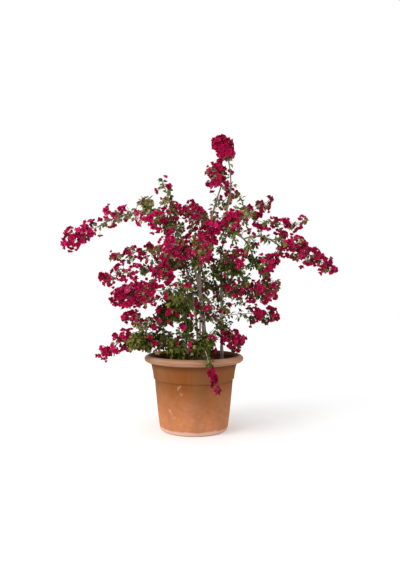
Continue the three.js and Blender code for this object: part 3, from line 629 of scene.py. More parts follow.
def woody_bark(node, plant):
    """Bougainvillea bark: pale weathered ridges over darker furrows.

    It is damp and dark at the foot of a stem, and darker up in the crown with the crown's painted shade.
    """
    place = node("ShaderNodeTexCoord", out="Object")
    height = node("ShaderNodeSeparateXYZ", {0: place}, out=2)
    tall = node("ShaderNodeMapping", {"Vector": place, "Scale": (1, 1, 0.16)})
    furrows = node("ShaderNodeTexNoise", {"Vector": tall, "Scale": 1 / (7 * MM), "Detail": 6})
    blotches = node("ShaderNodeTexNoise", {"Vector": place, "Scale": 1 / (60 * MM), "Detail": 3})
    ridge = node("ShaderNodeMapRange", {0: furrows, 1: 0.28, 2: 0.5})
    mossy = node("ShaderNodeMapRange", {0: blotches, 1: 0.45, 2: 0.7, 4: 0.15})
    damp = node("ShaderNodeMapRange", {0: height, 1: SOIL_HIGH.z + DAMP_BARK, 2: SOIL_HIGH.z, 4: 0.85})
    # Painted shade of the crown: the bark darkens with height among the boughs
    brown = node("ShaderNodeMapRange", {0: height, 1: CROWN_SHADE_BARK[0], 2: CROWN_SHADE_BARK[1], 4: 0.66})
    coats = [
        (ridge, plant.bark_light),
        (mossy, plant.twig_colour),
        (damp, plant.bark_dark),
        (brown, plant.bark_dark),
    ]
    colour = plant.bark_dark
    for share, coat in coats:
        colour = node("ShaderNodeMix", {0: share, 6: colour, 7: coat}, **MIX)
    bump = node("ShaderNodeBump", {"Height": furrows, "Distance": 2 * MM, "Strength": 0.8})
    return node("ShaderNodeBsdfPrincipled", {"Base Color": colour, "Roughness": 0.9, "Normal": bump})


def young_twig(node, plant):
    """Young twigs: thin olive-brown skin, a little smoother than bark."""
    place = node("ShaderNodeTexCoord", out="Object")
    flecks = node("ShaderNodeTexNoise", {"Vector": place, "Scale": 1 / (12 * MM), "Detail": 3})
    flecked = node("ShaderNodeMapRange", {0: flecks, 1: 0.35, 2: 0.65, 4: 0.7})
    colour = node("ShaderNodeMix", {0: flecked, 6: plant.twig_colour, 7: plant.bark_dark}, **MIX)
    return node("ShaderNodeBsdfPrincipled", {"Base Color": colour, "Roughness": 0.7})


def papery_bract(node, bract, vein):
    """A bract: a dry papery leaf in one strong colour, faintly mottled, with a deeper midrib."""
    place = node("ShaderNodeTexCoord", out="Object")
    mottle = node("ShaderNodeTexNoise", {"Vector": place, "Scale": 1 / (16 * MM), "Detail": 3})
    rib = node("ShaderNodeAttribute", out="Fac", attribute_name="midrib")
    veined = node("ShaderNodeMath", {0: rib, 1: 0.35, 2: mottle}, operation="MULTIPLY_ADD")
    deeper = node("ShaderNodeMapRange", {0: veined, 1: 0.45, 2: 0.95, 4: 0.4})
    colour = node("ShaderNodeMix", {0: deeper, 6: bract, 7: vein}, **MIX)
    return node(
        "ShaderNodeBsdfPrincipled",
        {"Base Color": colour, "Roughness": 0.8, "Specular IOR Level": 0.1},
    )


def leaf_blade(node, leaf, shade, rib):
    """A leaf: thin and satin, uneven green between its veins, with a paler midrib."""
    place = node("ShaderNodeTexCoord", out="Object")
    mottle = node("ShaderNodeTexNoise", {"Vector": place, "Scale": 1 / (14 * MM), "Detail": 3})
    uneven = node("ShaderNodeMapRange", {0: mottle, 1: 0.5, 2: 0.75, 4: 0.45})
    colour = node("ShaderNodeMix", {0: uneven, 6: leaf, 7: shade}, **MIX)
    middle = node("ShaderNodeAttribute", out="Fac", attribute_name="midrib")
    pale = node("ShaderNodeMapRange", {0: middle, 1: 0.72, 2: 1, 4: 0.28})
    colour = node("ShaderNodeMix", {0: pale, 6: colour, 7: rib}, **MIX)
    return node(
        "ShaderNodeBsdfPrincipled",
        {"Base Color": colour, "Roughness": 0.6, "Specular IOR Level": 0.06},
    )


def waxy_blossom(node, plant):
    """The true flowers: small waxy cream stars, greener in places."""
    place = node("ShaderNodeTexCoord", out="Object")
    throat = node("ShaderNodeTexNoise", {"Vector": place, "Scale": 1 / (6 * MM), "Detail": 2})
    green = node("ShaderNodeMapRange", {0: throat, 1: 0.4, 2: 0.65})
    colour = node("ShaderNodeMix", {0: green, 6: plant.blossom, 7: plant.blossom_green}, **MIX)
    return node("ShaderNodeBsdfPrincipled", {"Base Color": colour, "Roughness": 0.5})


def studio_paper(node, stage):
    """Matte paper floor: pale, even and without gloss."""
    return node(
        "ShaderNodeBsdfPrincipled",
        {"Base Color": stage.floor_colour, "Roughness": 0.95, "Specular IOR Level": 0.1},
    )


# Pieces


def add_object(name, data):
    """Puts a mesh, a light or a camera in the scene as an object at the origin."""
    made = bpy.data.objects.new(name, data)
    bpy.context.scene.collection.objects.link(made)
    return made


def add_piece(mesh, name, material):
    """Puts a mesh in the scene as a piece that rides on the part's one body."""
    mesh.materials.append(material)
    mesh.shade_smooth()
    piece = add_object(name, mesh)
    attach(piece, "root")
    return piece


def closed_mesh(shape, name):
    """A bmesh made into a mesh, with its doubles merged and its faces turned out."""
    bmesh.ops.remove_doubles(shape, verts=shape.verts, dist=MERGE_DISTANCE)
    bmesh.ops.recalc_face_normals(shape, faces=shape.faces)
    mesh = bpy.data.meshes.new(name)
    shape.to_mesh(mesh)
    shape.free()
    return mesh


def corners_and_faces(shape):
    """A small bmesh as two arrays, from which copies are made."""
    shape.verts.index_update()
    points = np.array([vert.co for vert in shape.verts])
    faces = np.array([[vert.index for vert in face.verts] for face in shape.faces])
    shape.free()
    return points, faces


def joined_mesh(name, points, faces, ribs=None):
    """One mesh of many copies: points is copies by corners by 3, and faces index one copy's corners."""
    copies, corners = points.shape[:2]
    offsets = np.arange(copies)[:, None, None] * corners
    every_face = (faces[None] + offsets).reshape(-1, faces.shape[1])
    mesh = bpy.data.meshes.new(name)
    mesh.from_pydata(points.reshape(-1, 3).tolist(), [], every_face.tolist())
    if ribs is not None:
        mesh.attributes.new("midrib", "FLOAT", "POINT").data.foreach_set("value", np.tile(ribs, copies))
    return mesh


def spun(profile, segments):
    """A bmesh of a profile of (radius, height) points in millimetres, spun a full turn about Z."""
    shape = bmesh.new()
    corners = [shape.verts.new((radius * MM, 0, height * MM)) for radius, height in profile]
    edges = [shape.edges.new(pair) for pair in zip(corners, corners[1:])]
    bmesh.ops.spin(
        shape, geom=corners + edges, cent=(0, 0, 0), axis=UP, angle=TAU, steps=segments, use_merge=True
    )
    return shape


def arc(centre, radii, first, last, steps):
    """Points on an ellipse's arc between two angles in degrees, in the profile's plane."""
    angles = [math.radians(lerp(first, last, i / steps)) for i in range(steps + 1)]
    return [(centre[0] + radii[0] * math.cos(a), centre[1] + radii[1] * math.sin(a)) for a in angles]


def bumps(point, waves):
    """The height in metres that some noises, each a scale and a height, add up to at a point."""
    return sum(noise.noise(point * scale) * height * MM for scale, height in waves)


class BOUGAINVILLEA_OT_build_pot(bpy.types.Operator):
    """Builds the terracotta pot with its rolled rim, collar, groove and worn foot"""

    bl_idname = "bougainvillea.build_pot"
    bl_label = "Build pot"

    def execute(self, context):
        pot = context.scene.bougainvillea_pot
        shape = spun(self.profile(pot), pot.segments)
        for vert in shape.verts:
            self.wear(vert)
        mesh = closed_mesh(shape, "terracotta_pot")
        material = new_material("fired_terracotta", fired_terracotta, pot)
        piece = add_piece(mesh, "terracotta_pot", material)
        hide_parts("pot")
        return {"FINISHED"}

    def profile(self, pot):
        """The pot's section in millimetres, from the axis underneath round the wall to the axis inside."""
        rim_width, rim_depth, wall = pot.rim_width / MM, pot.rim_depth / MM, pot.wall / MM
        section = [(radius, 0) for radius in UNDERSIDE]
        section += arc(*FOOT_EDGE)
        for share in EIGHTHS[1:]:
            section.append((wall_radius(share), lerp(FOOT_BEVEL, BODY_HEIGHT, share)))
        section += [*arc(*GROOVE), *arc(*COLLAR_FOOT), *COLLAR]
        rim_centre = (POT_HIGH.x / MM - rim_width / 2, POT_HIGH.z / MM - rim_depth / 2)
        section += arc(rim_centre, (rim_width / 2, rim_depth / 2), *RIM_TURN)
        for share in EIGHTHS[1:]:
            radius = lerp(INNER_RIM, FOOT_RADIUS - wall, share)
            section.append((radius, lerp(INNER_TOP, FLOOR_THICKNESS, share)))
        return section + [(radius, FLOOR_THICKNESS) for radius in FLOOR_RADII]

    def wear(self, vert):
        """Moves a point by the small unevenness of a hand-finished pot, and knocks chips off the foot."""
        radius = math.hypot(vert.co.x, vert.co.y)
        if radius < PLAIN_RADIUS * MM:
            return
        uneven = bumps(vert.co, POT_BUMPS)
        if vert.co.z < CHIP_TOP * MM and radius > CHIP_RADIUS * MM:
            uneven -= max(0, noise.noise(vert.co * CHIP_SCALE) - CHIP_RARITY) * CHIP_DEPTH * MM
        vert.co.x *= 1 + uneven / radius
        vert.co.y *= 1 + uneven / radius


class BOUGAINVILLEA_OT_fill_soil(bpy.types.Operator):
    """Fills the pot with lumpy soil and scatters crumbs on it"""

    bl_idname = "bougainvillea.fill_soil"
    bl_label = "Fill soil"

    def execute(self, context):
        pot = context.scene.bougainvillea_pot
        radii = [SOIL_HIGH.x / MM * i / SOIL_STEPS for i in range(SOIL_STEPS + 1)]
        surface = [(radius, self.level(radius)) for radius in radii]
        foot = FOOT_RADIUS - pot.wall / MM - SOIL_GAP
        shape = spun([*surface, (foot, SOIL_LOW.z / MM), (0, SOIL_LOW.z / MM)], SOIL_SEGMENTS)
        for vert in shape.verts:
            from_axis = math.hypot(vert.co.x, vert.co.y)
            if vert.co.z > (SOIL_EDGE - SURFACE_MARGIN) * MM and from_axis < SOIL_HIGH.x - SOIL_MARGIN * MM:
                vert.co.z += min(bumps(vert.co, SOIL_LUMPS) - SOIL_SINK * MM, SOIL_RISE * MM)
        material = new_material("potting_soil", potting_soil, pot)
        ground = add_piece(closed_mesh(shape, "potting_soil"), "potting_soil", material)
        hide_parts("soil")
        add_piece(self.crumbs(), "soil_crumbs", material)
        return {"FINISHED"}

    def level(self, from_axis):
        """The soil's height, which falls towards the wall."""
        return lerp(SOIL_LEVEL, SOIL_EDGE, (from_axis * MM / SOIL_HIGH.x) ** SOIL_FALL)

    def crumbs(self):
        """Small lumps of soil, joined, half sunk in the ground."""
        draw = seeded(CRUMB_SEED)
        shape = bmesh.new()
        bmesh.ops.create_icosphere(shape, subdivisions=1, radius=1)
        points, faces = corners_and_faces(shape)
        every = []
        for _ in range(CRUMBS):
            reach = math.sqrt(next(draw)) * CRUMB_REACH
            turn = next(draw) * TAU
            size = lerp(*CRUMB_SIZES, next(draw) ** 2)
            uneven = np.array([[lerp(*CRUMB_UNEVEN, next(draw))] for _ in points])
            lump = points * uneven * size * (1, 1, CRUMB_FLATNESS)
            height = self.level(reach) - CRUMB_SINK
            every.append(lump + (reach * math.cos(turn), reach * math.sin(turn), height))
        return joined_mesh("soil_crumbs", np.array(every) * MM, faces)


# Growth


def seeded(seed):
    """Repeatable draws from 0 to 1, by the part source's own rule."""
    state = seed
    while True:
        state = (state * 1664525 + 1013904223) % 2**32
        yield state / 2**32


class Limb:
    """A tapering limb along a quadratic curve, in millimetres, read at shares of its true length."""

    def __init__(self, start, middle, end, radii, flare=0, upright=False):
        self.start, self.middle, self.end = Vector(start), Vector(middle), Vector(end)
        self.radii = radii
        self.flare = flare
        self.steps = np.linspace(0, 1, CURVE_DIVISIONS + 1)
        points = np.array([self.curve(t) for t in self.steps])
        self.lengths = np.concatenate([[0], np.cumsum(np.linalg.norm(np.diff(points, axis=0), axis=1))])
        self.length = self.lengths[-1]
        chord = (self.end - self.start).normalized()
        self.reference = ACROSS if upright or abs(chord.z) > STEEP else UP

    def curve(self, t):
        return self.start * (1 - t) ** 2 + self.middle * (2 * t * (1 - t)) + self.end * t**2

    def at(self, share):
        """The limb's point, its tangent, and two directions across it."""
        t = float(np.interp(share * self.length, self.lengths, self.steps))
        tangent = ((self.middle - self.start) * (1 - t) + (self.end - self.middle) * t).normalized()
        side = tangent.cross(self.reference).normalized()
        return self.curve(t), tangent, side, side.cross(tangent)

    def radius(self, share):
        return lerp(*self.radii, share) + self.flare * math.exp(-share * self.length / FLARE_REACH)


def branch_limb(branch, parent, radii):
    """A bough or a mass's stem, from the middle of its parent."""
    start = parent.at(branch.at)[0]
    end = Vector(branch.tip)
    return Limb(start, (start + end) / 2 + Vector(branch.bend), end, radii)


def all_limbs():
    """Every stem and bough by name."""
    limbs = {}
    for stem in STEMS:
        foot = Vector((*stem.root, SOIL_LEVEL + GAP))
        limbs[stem.name] = Limb(foot, foot + UP * stem.rise, stem.tip, stem.radii, stem.flare, upright=True)
    for bough in BOUGHS:
        limbs[bough.name] = branch_limb(bough, limbs[bough.parent], bough.radii)
    return limbs


class BOUGAINVILLEA_OT_grow_limbs(bpy.types.Operator):
    """Grows the trunk, stems and boughs, with the relief of their bark"""

    bl_idname = "bougainvillea.grow_limbs"
    bl_label = "Grow limbs"

    def execute(self, context):
        plant = context.scene.bougainvillea_plant
        bark = new_material("woody_bark", woody_bark, plant)
        for number, (name, limb) in enumerate(all_limbs().items()):
            mesh = self.barked(limb, number, plant.bark_relief)
            piece = add_piece(mesh, name + "_bark", bark)
            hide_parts(name)
        return {"FINISHED"}

    def barked(self, limb, number, relief):
        """A round limb with ridges that run along it, and swellings at its old leaf joints."""
        sides = THICK_SIDES if limb.radii[0] > THICK_LIMB else THIN_SIDES
        rings = max(FEWEST_RINGS, round(limb.length / RING_SPACING))
        shape = bmesh.new()
        bmesh.ops.create_cone(
            shape, cap_ends=True, cap_tris=True, segments=sides, radius1=1, radius2=1, depth=1
        )
        along = [edge for edge in shape.edges if abs(edge.verts[0].co.z - edge.verts[1].co.z) > 0.5]
        bmesh.ops.subdivide_edges(shape, edges=along, cuts=rings - 1)
        own = Vector((RIDGE_STEP * number, 0, 0))
        for vert in shape.verts:
            share = min(1, max(0, vert.co.z + 0.5))
            point, _, side, over = limb.at(share)
            gone = share * limb.length
            ridges = 0
            for weight, scale, run in RIDGES:
                spot = Vector((vert.co.x * scale, vert.co.y * scale, gone / run))
                ridges += weight * noise.noise(spot + own)
            joints = JOINT_HEIGHT * max(0, math.cos(gone / JOINT_SPACING * TAU)) ** JOINT_SHARPNESS
            radius = limb.radius(share) * (1 + relief * ridges + joints)
            vert.co = (point + (side * vert.co.x + over * vert.co.y) * radius) * MM
        return closed_mesh(shape, "bark")


Tube = namedtuple("Tube", "points radii sides")
Blade = namedtuple("Blade", "point direction roll size tint")
# What grows on the limbs, gathered by kind, in millimetres
Crop = namedtuple("Crop", "tubes leaves trios blossoms")
BRACT_TINTS = ["bract_crimson", "bract_deep", "bract_magenta", "bract_rose"]
LEAF_TINTS = ["leaf_olive", "leaf_dark", "leaf_fresh", "leaf_young"]
# How often each tint is dealt, as rising sums
BRACT_DEAL = [0.5, 0.66, 0.93]
# Leans to bright magenta bracts, partly as painted light
FRESH_AND_LIT_DEAL = [0.28, 0.32, 0.94]
# Leans to deep bracts, as painted shade
SHADED_DEAL = [0.4, 0.85, 0.95]
LEAF_DEAL = [0.46, 0.48, 0.78]
# Leans to dark leaves, as painted shade inside the crown
INNER_DEAL = [0.22, 0.92, 0.98]
# Leans to dark leaves, partly as painted shade low in the crown
FOOT_DEAL = [0.48, 0.84, 0.98]
YOUNG_DEAL = [0.25, 0.3, 0.6]
# Limbs out in the light, whose shoots have young pale leaves
YOUNG_LIMBS = {"left_arm", "right_arm", "spire", "leader", "right_limb", "right_high"}


def clear_of_pot(point, radius):
    """True where a small round thing meets neither the pot nor the soil."""
    from_axis = math.hypot(point.x, point.y)
    above = point.z - radius > POT_HIGH.z / MM + POT_PASSING
    outside = from_axis - radius > POT_HIGH.x / MM + POT_PASSING
    inside = from_axis + radius < INNER_RIM - POT_PASSING and point.z - radius > SOIL_LEVEL + POT_PASSING
    return above or outside or inside


def way_out(tangent, side, over, turn, lean):
    """A way out from a stem, round it by turn and leaning away from its tangent."""
    way = tangent * math.cos(lean)
    way += side * (math.sin(lean) * math.cos(turn))
    return (way + over * (math.sin(lean) * math.sin(turn))).normalized()


def across(direction):
    """Two directions across a third: one level where that can be, and one upwards."""
    side = direction.cross(UP if abs(direction.z) < NEARLY_UPRIGHT else ACROSS).normalized()
    return side, side.cross(direction)


def swell(along):
    """How long the twigs are along a mass's stem, as a share of its spread, by the source's rule."""
    return math.sin(math.pi * lerp(*SWELL_PART, along)) ** SWELL_POWER


def crowding(along):
    """How full a spray is along its stem: thin at first, fullest in the middle, thin at the tip."""
    return math.sin(math.pi * lerp(*CROWDED_PART, along))


class Grower:
    """Grows the sprays of one mass or limb, and keeps them in its reach."""

    def __init__(self, crop, seed, box, plant, bract_deal, leaf_deal, slender=1):
        self.crop = crop
        self.fine = seeded(FINE_SEED + SEED_STEP * seed)
        self.low, self.high = box
        self.bract = plant.bract_length / MM
        self.leaf = plant.leaf_length / MM
        self.spacing = plant.leaf_spacing / MM
        self.bract_deal, self.leaf_deal = bract_deal, leaf_deal
        self.slender = slender

    def draw(self, first=0.0, last=1.0):
        return lerp(first, last, next(self.fine))

    def fits(self, point, radius):
        """True where a blade stays in reach and clear of the pot."""
        inside = all(self.low[k] + radius < point[k] < self.high[k] - radius for k in range(3))
        return inside and clear_of_pot(point, radius)

    def tints(self):
        """One colour for a spray's bracts and one for its leaves."""
        bract = int(np.searchsorted(self.bract_deal, self.draw()))
        return bract, int(np.searchsorted(self.leaf_deal, self.draw()))

    def flowers(self, fewest, most):
        """How many flowers a bunch has: few in most bunches, and many in some."""
        return fewest + int((most - fewest) * self.draw() ** 2)

    def leaf_at(self, point, way, size, tint):
        """A leaf that leans out and droops a little, its face to the sky."""
        way = (way + UP * self.draw(*LEAF_DROOP)).normalized()
        length = self.leaf * size * self.draw(*LEAF_SIZES)
        if not self.fits(point + way * length * LEAF_MIDDLE, length * LEAF_GIRTH):
            return
        shade = tint if self.draw() < SAME_TINT else self.tints()[1]
        self.crop.leaves.append(Blade(point, way, self.draw(-LEAF_ROLL, LEAF_ROLL), length, shade))

    def bunch(self, point, direction, count, tint):
        """A bunch of flowers, each three bracts on its own stalk."""
        side, over = across(direction)
        turn = self.draw(0, TAU)
        for i in range(count):
            lean = lerp(*BUNCH_LEANS, i / count) + self.draw(-BUNCH_SWAY, BUNCH_SWAY)
            way = way_out(direction, side, over, turn + i * GOLDEN_ANGLE, lean)
            foot = point + way * (self.draw(*PEDICEL_LENGTHS) * self.slender)
            size = self.bract * self.draw(*FLOWER_SIZES)
            if not self.fits(foot + way * size * FLOWER_MIDDLE, size * FLOWER_GIRTH):
                continue
            shade = tint if self.draw() < SAME_TINT else self.tints()[0]
            flower = Blade(foot, way, self.draw(0, TAU), size, shade)
            self.crop.tubes.append(Tube([point, foot], PEDICEL_RADII, PEDICEL_SIDES))
            self.crop.trios.append(flower)
            if self.draw() < BLOSSOM_SHARE:
                self.crop.blossoms.append(flower)

    def shoot(self, point, direction, length, blooms, tints, count):
        """A leafy shoot, with a bunch of flowers at its end where it blooms. Gives its tip, if it fits."""
        tip = point + direction * length + UP * (length * self.draw(*SHOOT_DROOP))
        if not self.fits(tip, TIP_ROOM):
            return None
        bow = length * SHOOT_BOW
        middle = (point + tip) / 2 + Vector((self.draw(-bow, bow), self.draw(-bow, bow), self.draw(0, bow)))
        self.crop.tubes.append(Tube([point, middle, tip], SHOOT_RADII, SHOOT_SIDES))
        side, over = across(direction)
        turn = self.draw(0, TAU)
        leafy = LEAFY_PART if blooms else 1
        leaves = round(length * leafy / self.spacing)
        for i in range(leaves):
            share = (i + LEAF_PLACE) / leaves * leafy
            way = way_out(direction, side, over, turn + i * GOLDEN_ANGLE, LEAF_LEAN)
            self.leaf_at(point.lerp(tip, share), way, lerp(*LEAF_TAPER, share), tints[1])
        if blooms:
            self.bunch(tip, direction, count, tints[0])
        else:
            self.leaf_at(tip, direction, LEAF_TAPER[1], tints[1])
        return tip

    def side_shoots(self, point, tip, number, lengths, bloom, tints):
        """Finer shoots along a shoot, turned by the golden angle."""
        direction = (tip - point).normalized()
        side, over = across(direction)
        turn = self.draw(0, TAU)
        for i in range(number):
            share = lerp(*SIDE_PART, (i + self.draw()) / number)
            way = way_out(direction, side, over, turn + i * GOLDEN_ANGLE, SIDE_LEAN)
            blooms = self.draw() < bloom
            flowers = self.flowers(1, SMALL_BUNCH)
            self.shoot(point.lerp(tip, share), way, self.draw(*lengths), blooms, tints, flowers)

    def dress(self, limb, sides):
        """Leafy shoots along a limb, turned by the golden angle, with finer ones on the long ones."""
        count = round(limb.length * (sides.last - sides.first) / sides.spacing)
        for i in range(count):
            share = lerp(sides.first, sides.last, (i + self.draw()) / count)
            point, tangent, side, over = limb.at(share)
            way = way_out(tangent, side, over, i * GOLDEN_ANGLE, self.draw(*LIMB_LEANS))
            length = self.draw(*sides.lengths)
            tints = self.tints()
            tip = self.shoot(point, way, length, self.draw() < sides.bloom, tints, LIMB_BUNCH)
            if tip and length > BRANCHING_LENGTH:
                lengths = (SHORTEST_BRANCH, BRANCH_SHARE * length)
                self.side_shoots(point, tip, round(length / BRANCH_SPACING), lengths, sides.bloom, tints)


def grow_mass(crop, mass, stem, seed, plant):
    """Twigs along a mass's stem by the source's rule, carried on to shoots, leaves and flowers."""
    # Dealt tints follow the light: brighter bracts in full light, deeper bracts and darker leaves in shade
    bract_deal, leaf_deal = BRACT_DEAL, LEAF_DEAL
    if mass.name in FRESH_AND_LIT:
        bract_deal = FRESH_AND_LIT_DEAL
    elif mass.name in LEAFY:
        bract_deal, leaf_deal = SHADED_DEAL, FOOT_DEAL
    elif mass.name in SHADED:
        bract_deal, leaf_deal = SHADED_DEAL, INNER_DEAL
    slender = SLENDER.get(mass.name, 1)
    low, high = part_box(mass.name)
    margin = Vector((MASS_MARGIN,) * 3)
    box = (low / MM - margin, high / MM + margin)
    grower = Grower(crop, seed, box, plant, bract_deal, leaf_deal, slender)
    fine_shoots = FULLNESS.get(mass.name, plant.fine_shoots)
    fewest = 2 if mass.name in DENSE else 1
    draw = seeded(seed)
    phase = next(draw) * TAU
    points = [stem.at(share)[0] for share in EIGHTHS]
    crop.tubes.append(Tube(points, [stem.radius(share) * STALK_SHARE for share in EIGHTHS], STALK_SIDES))
    grower.dress(stem, Side(mass.name, STALK_FIRST, mass.bare, *STALK_SHOOTS))
    for i in range(mass.twigs):
        along = (i + TWIG_START) / mass.twigs
        point, tangent, side, over = stem.at(mass.bare + (1 - mass.bare) * along)
        lean = lerp(*TWIG_LEANS, along)
        reach = mass.spread * swell(along) * lerp(SHORTEST_TWIG, 1, next(draw))
        blooms = next(draw) < mass.bloom
        direction = way_out(tangent, side, over, phase + i * GOLDEN_ANGLE, lean)
        aim = UP.rotation_difference(direction)
        tints = grower.tints()
        stretch = grower.draw(*TWIG_STRETCH) * slender
        for face in range(1 if blooms else 0, TWIG_FACES):
            is_bract = next(draw) < mass.bloom
            out = reach * (1 - BLADE_SPACING * (face + BLADE_SHIFT * (1 + next(draw))))
            turn = phase + math.pi / 2 + face * TAU / TWIG_FACES
            way = Vector((math.cos(turn), math.sin(turn), 0)) * math.sin(BLADE_LEAN)
            way.z = math.cos(BLADE_LEAN)
            # The source draws a blade's roll here
            next(draw)
            foot = point + direction * (out * min(1, stretch))
            flowers = grower.flowers(1, SMALL_BUNCH)
            length = grower.draw(*BLADE_SHOOT_LENGTHS) * slender
            grower.shoot(foot, aim @ way, length, is_bract, tints, flowers)
        flowers = grower.flowers(fewest, fewest + LARGE_BUNCH)
        tip = grower.shoot(point, direction, reach * stretch, blooms, tints, flowers)
        if tip:
            number = round(FILLING * fine_shoots * crowding(along))
            lengths = [reach * part * slender for part in TWIG_BRANCHES]
            grower.side_shoots(point, tip, number, lengths, mass.bloom * lerp(*TWIG_BLOOM, along), tints)


def grow_sides(crop, limb, sides, seed, plant, leaf_deal):
    """Leafy shoots along a limb, which dress it between its masses."""
    box = [Vector(corner) / MM for corner in CAD_BOX]
    Grower(crop, seed, box, plant, SHADED_DEAL, leaf_deal).dress(limb, sides)


def tubes_mesh(name, tubes):
    """Every twig and stalk as a closed tube, joined in one mesh.

    There are thousands, and a bmesh operator for each would be slow, so their faces are listed here.
    """
    points, faces = [], []
    for tube in tubes:
        first = len(points)
        rings = len(tube.points)
        side, over = across((tube.points[-1] - tube.points[0]).normalized())
        for point, radius in zip(tube.points, tube.radii):
            for k in range(tube.sides):
                turn = TAU * k / tube.sides
                points.append((point + (side * math.cos(turn) + over * math.sin(turn)) * radius) * MM)
        for ring in range(rings - 1):
            for k in range(tube.sides):
                a = first + ring * tube.sides + k
                b = first + ring * tube.sides + (k + 1) % tube.sides
                faces.append((a, a + tube.sides, b + tube.sides, b))
        last = first + (rings - 1) * tube.sides
        faces.append(tuple(range(first, first + tube.sides)))
        faces.append(tuple(reversed(range(last, last + tube.sides))))
    mesh = bpy.data.meshes.new(name)
    mesh.from_pydata(points, [], faces)
    return mesh


# Half widths of a leaf and a bract at shares of their length, and how they lean, arch and fold
LEAF_ROWS = [(0, 0.012), (0.14, 0.016), (0.28, 0.2), (0.48, 0.285), (0.75, 0.19), (1, 0.01)]
BRACT_ROWS = [(0, 0.12), (0.2, 0.42), (0.46, 0.56), (0.73, 0.45), (0.93, 0.19), (1, 0.04)]
LEAF_FORM = (-0.15, 0.8, 0.3)
TRIO_FORMS = [(0.45, 0.6), (0.7, 0.55), (0.25, 0.7)]
BRACT_FOLD = 0.2
BRACT_OFFSET = 0.03
# A true flower, for bracts of unit length: its tube's two radii and length, and its star
TUBE_RADII = (0.03, 0.05)
TUBE_LENGTH = 0.56
STAR_POINTS = 5
STAR_SPREAD = 2.4
STAR_RISE = 0.04


def blade_shape(rows, lean, arch, fold, offset=0.0):
    """Corners, faces and midrib of a blade of unit length that grows along +Z with its face to +Y.

    lean tips it towards -Y at its root, arch bends it further by its tip, and fold lifts its edges.
    """
    points, faces = [], []
    y, z, before = -offset, 0.0, 0.0
    for share, half in rows:
        angle = lean + arch * share
        y -= math.sin(angle) * (share - before)
        z += math.cos(angle) * (share - before)
        before = share
        lift = fold * half
        edge = (y + lift * math.cos(angle), z + lift * math.sin(angle))
        points += [(-half, *edge), (0, y, z), (half, *edge)]
    for row in range(len(rows) - 1):
        a = row * 3
        faces += [(a, a + 1, a + 4, a + 3), (a + 1, a + 2, a + 5, a + 4)]
    return np.array(points), np.array(faces), np.tile([0.0, 1.0, 0.0], len(rows))


def trio_shape(lean, arch):
    """Three bracts round a flower's axis, which runs along +Z."""
    points, faces, ribs = blade_shape(BRACT_ROWS, lean, arch, BRACT_FOLD, BRACT_OFFSET)
    turns = [np.array(Matrix.Rotation(TAU * k / 3, 3, "Z")) for k in range(3)]
    every = np.concatenate([points @ turn.T for turn in turns])
    return every, np.concatenate([faces + k * len(points) for k in range(3)]), np.tile(ribs, 3)


def blossom_shape():
    """A slim tube that opens into a small five-pointed star, along +Z."""
    shape = bmesh.new()
    narrow, wide = TUBE_RADII
    bmesh.ops.create_cone(
        shape, cap_ends=False, segments=STAR_POINTS, radius1=narrow, radius2=wide, depth=TUBE_LENGTH
    )
    bmesh.ops.translate(shape, verts=shape.verts, vec=UP * (TUBE_LENGTH / 2))
    mouth = [edge for edge in shape.edges if all(vert.co.z > TUBE_LENGTH / 2 for vert in edge.verts)]
    flared = bmesh.ops.extrude_edge_only(shape, edges=mouth)["geom"]
    lip = [part for part in flared if isinstance(part, bmesh.types.BMVert)]
    bmesh.ops.scale(shape, verts=lip, vec=(STAR_SPREAD, STAR_SPREAD, 1))
    bmesh.ops.translate(shape, verts=lip, vec=UP * STAR_RISE)
    return *corners_and_faces(shape), None


def placed(shape, blades):
    """Copies of a shape, one to each blade, in metres, with the shape's faces and midrib."""
    points, faces, ribs = shape
    frames = []
    for blade in blades:
        side, over = across(blade.direction)
        turned = over * math.sin(blade.roll) - side * math.cos(blade.roll)
        axes = (turned, blade.direction.cross(turned), blade.direction)
        frames.append(np.array(Matrix(axes).transposed()))
    sizes = np.array([blade.size for blade in blades])
    roots = np.array([blade.point for blade in blades])
    every = np.einsum("nij,pj->npi", np.array(frames), points) * sizes[:, None, None] + roots[:, None, :]
    return every * MM, faces, ribs


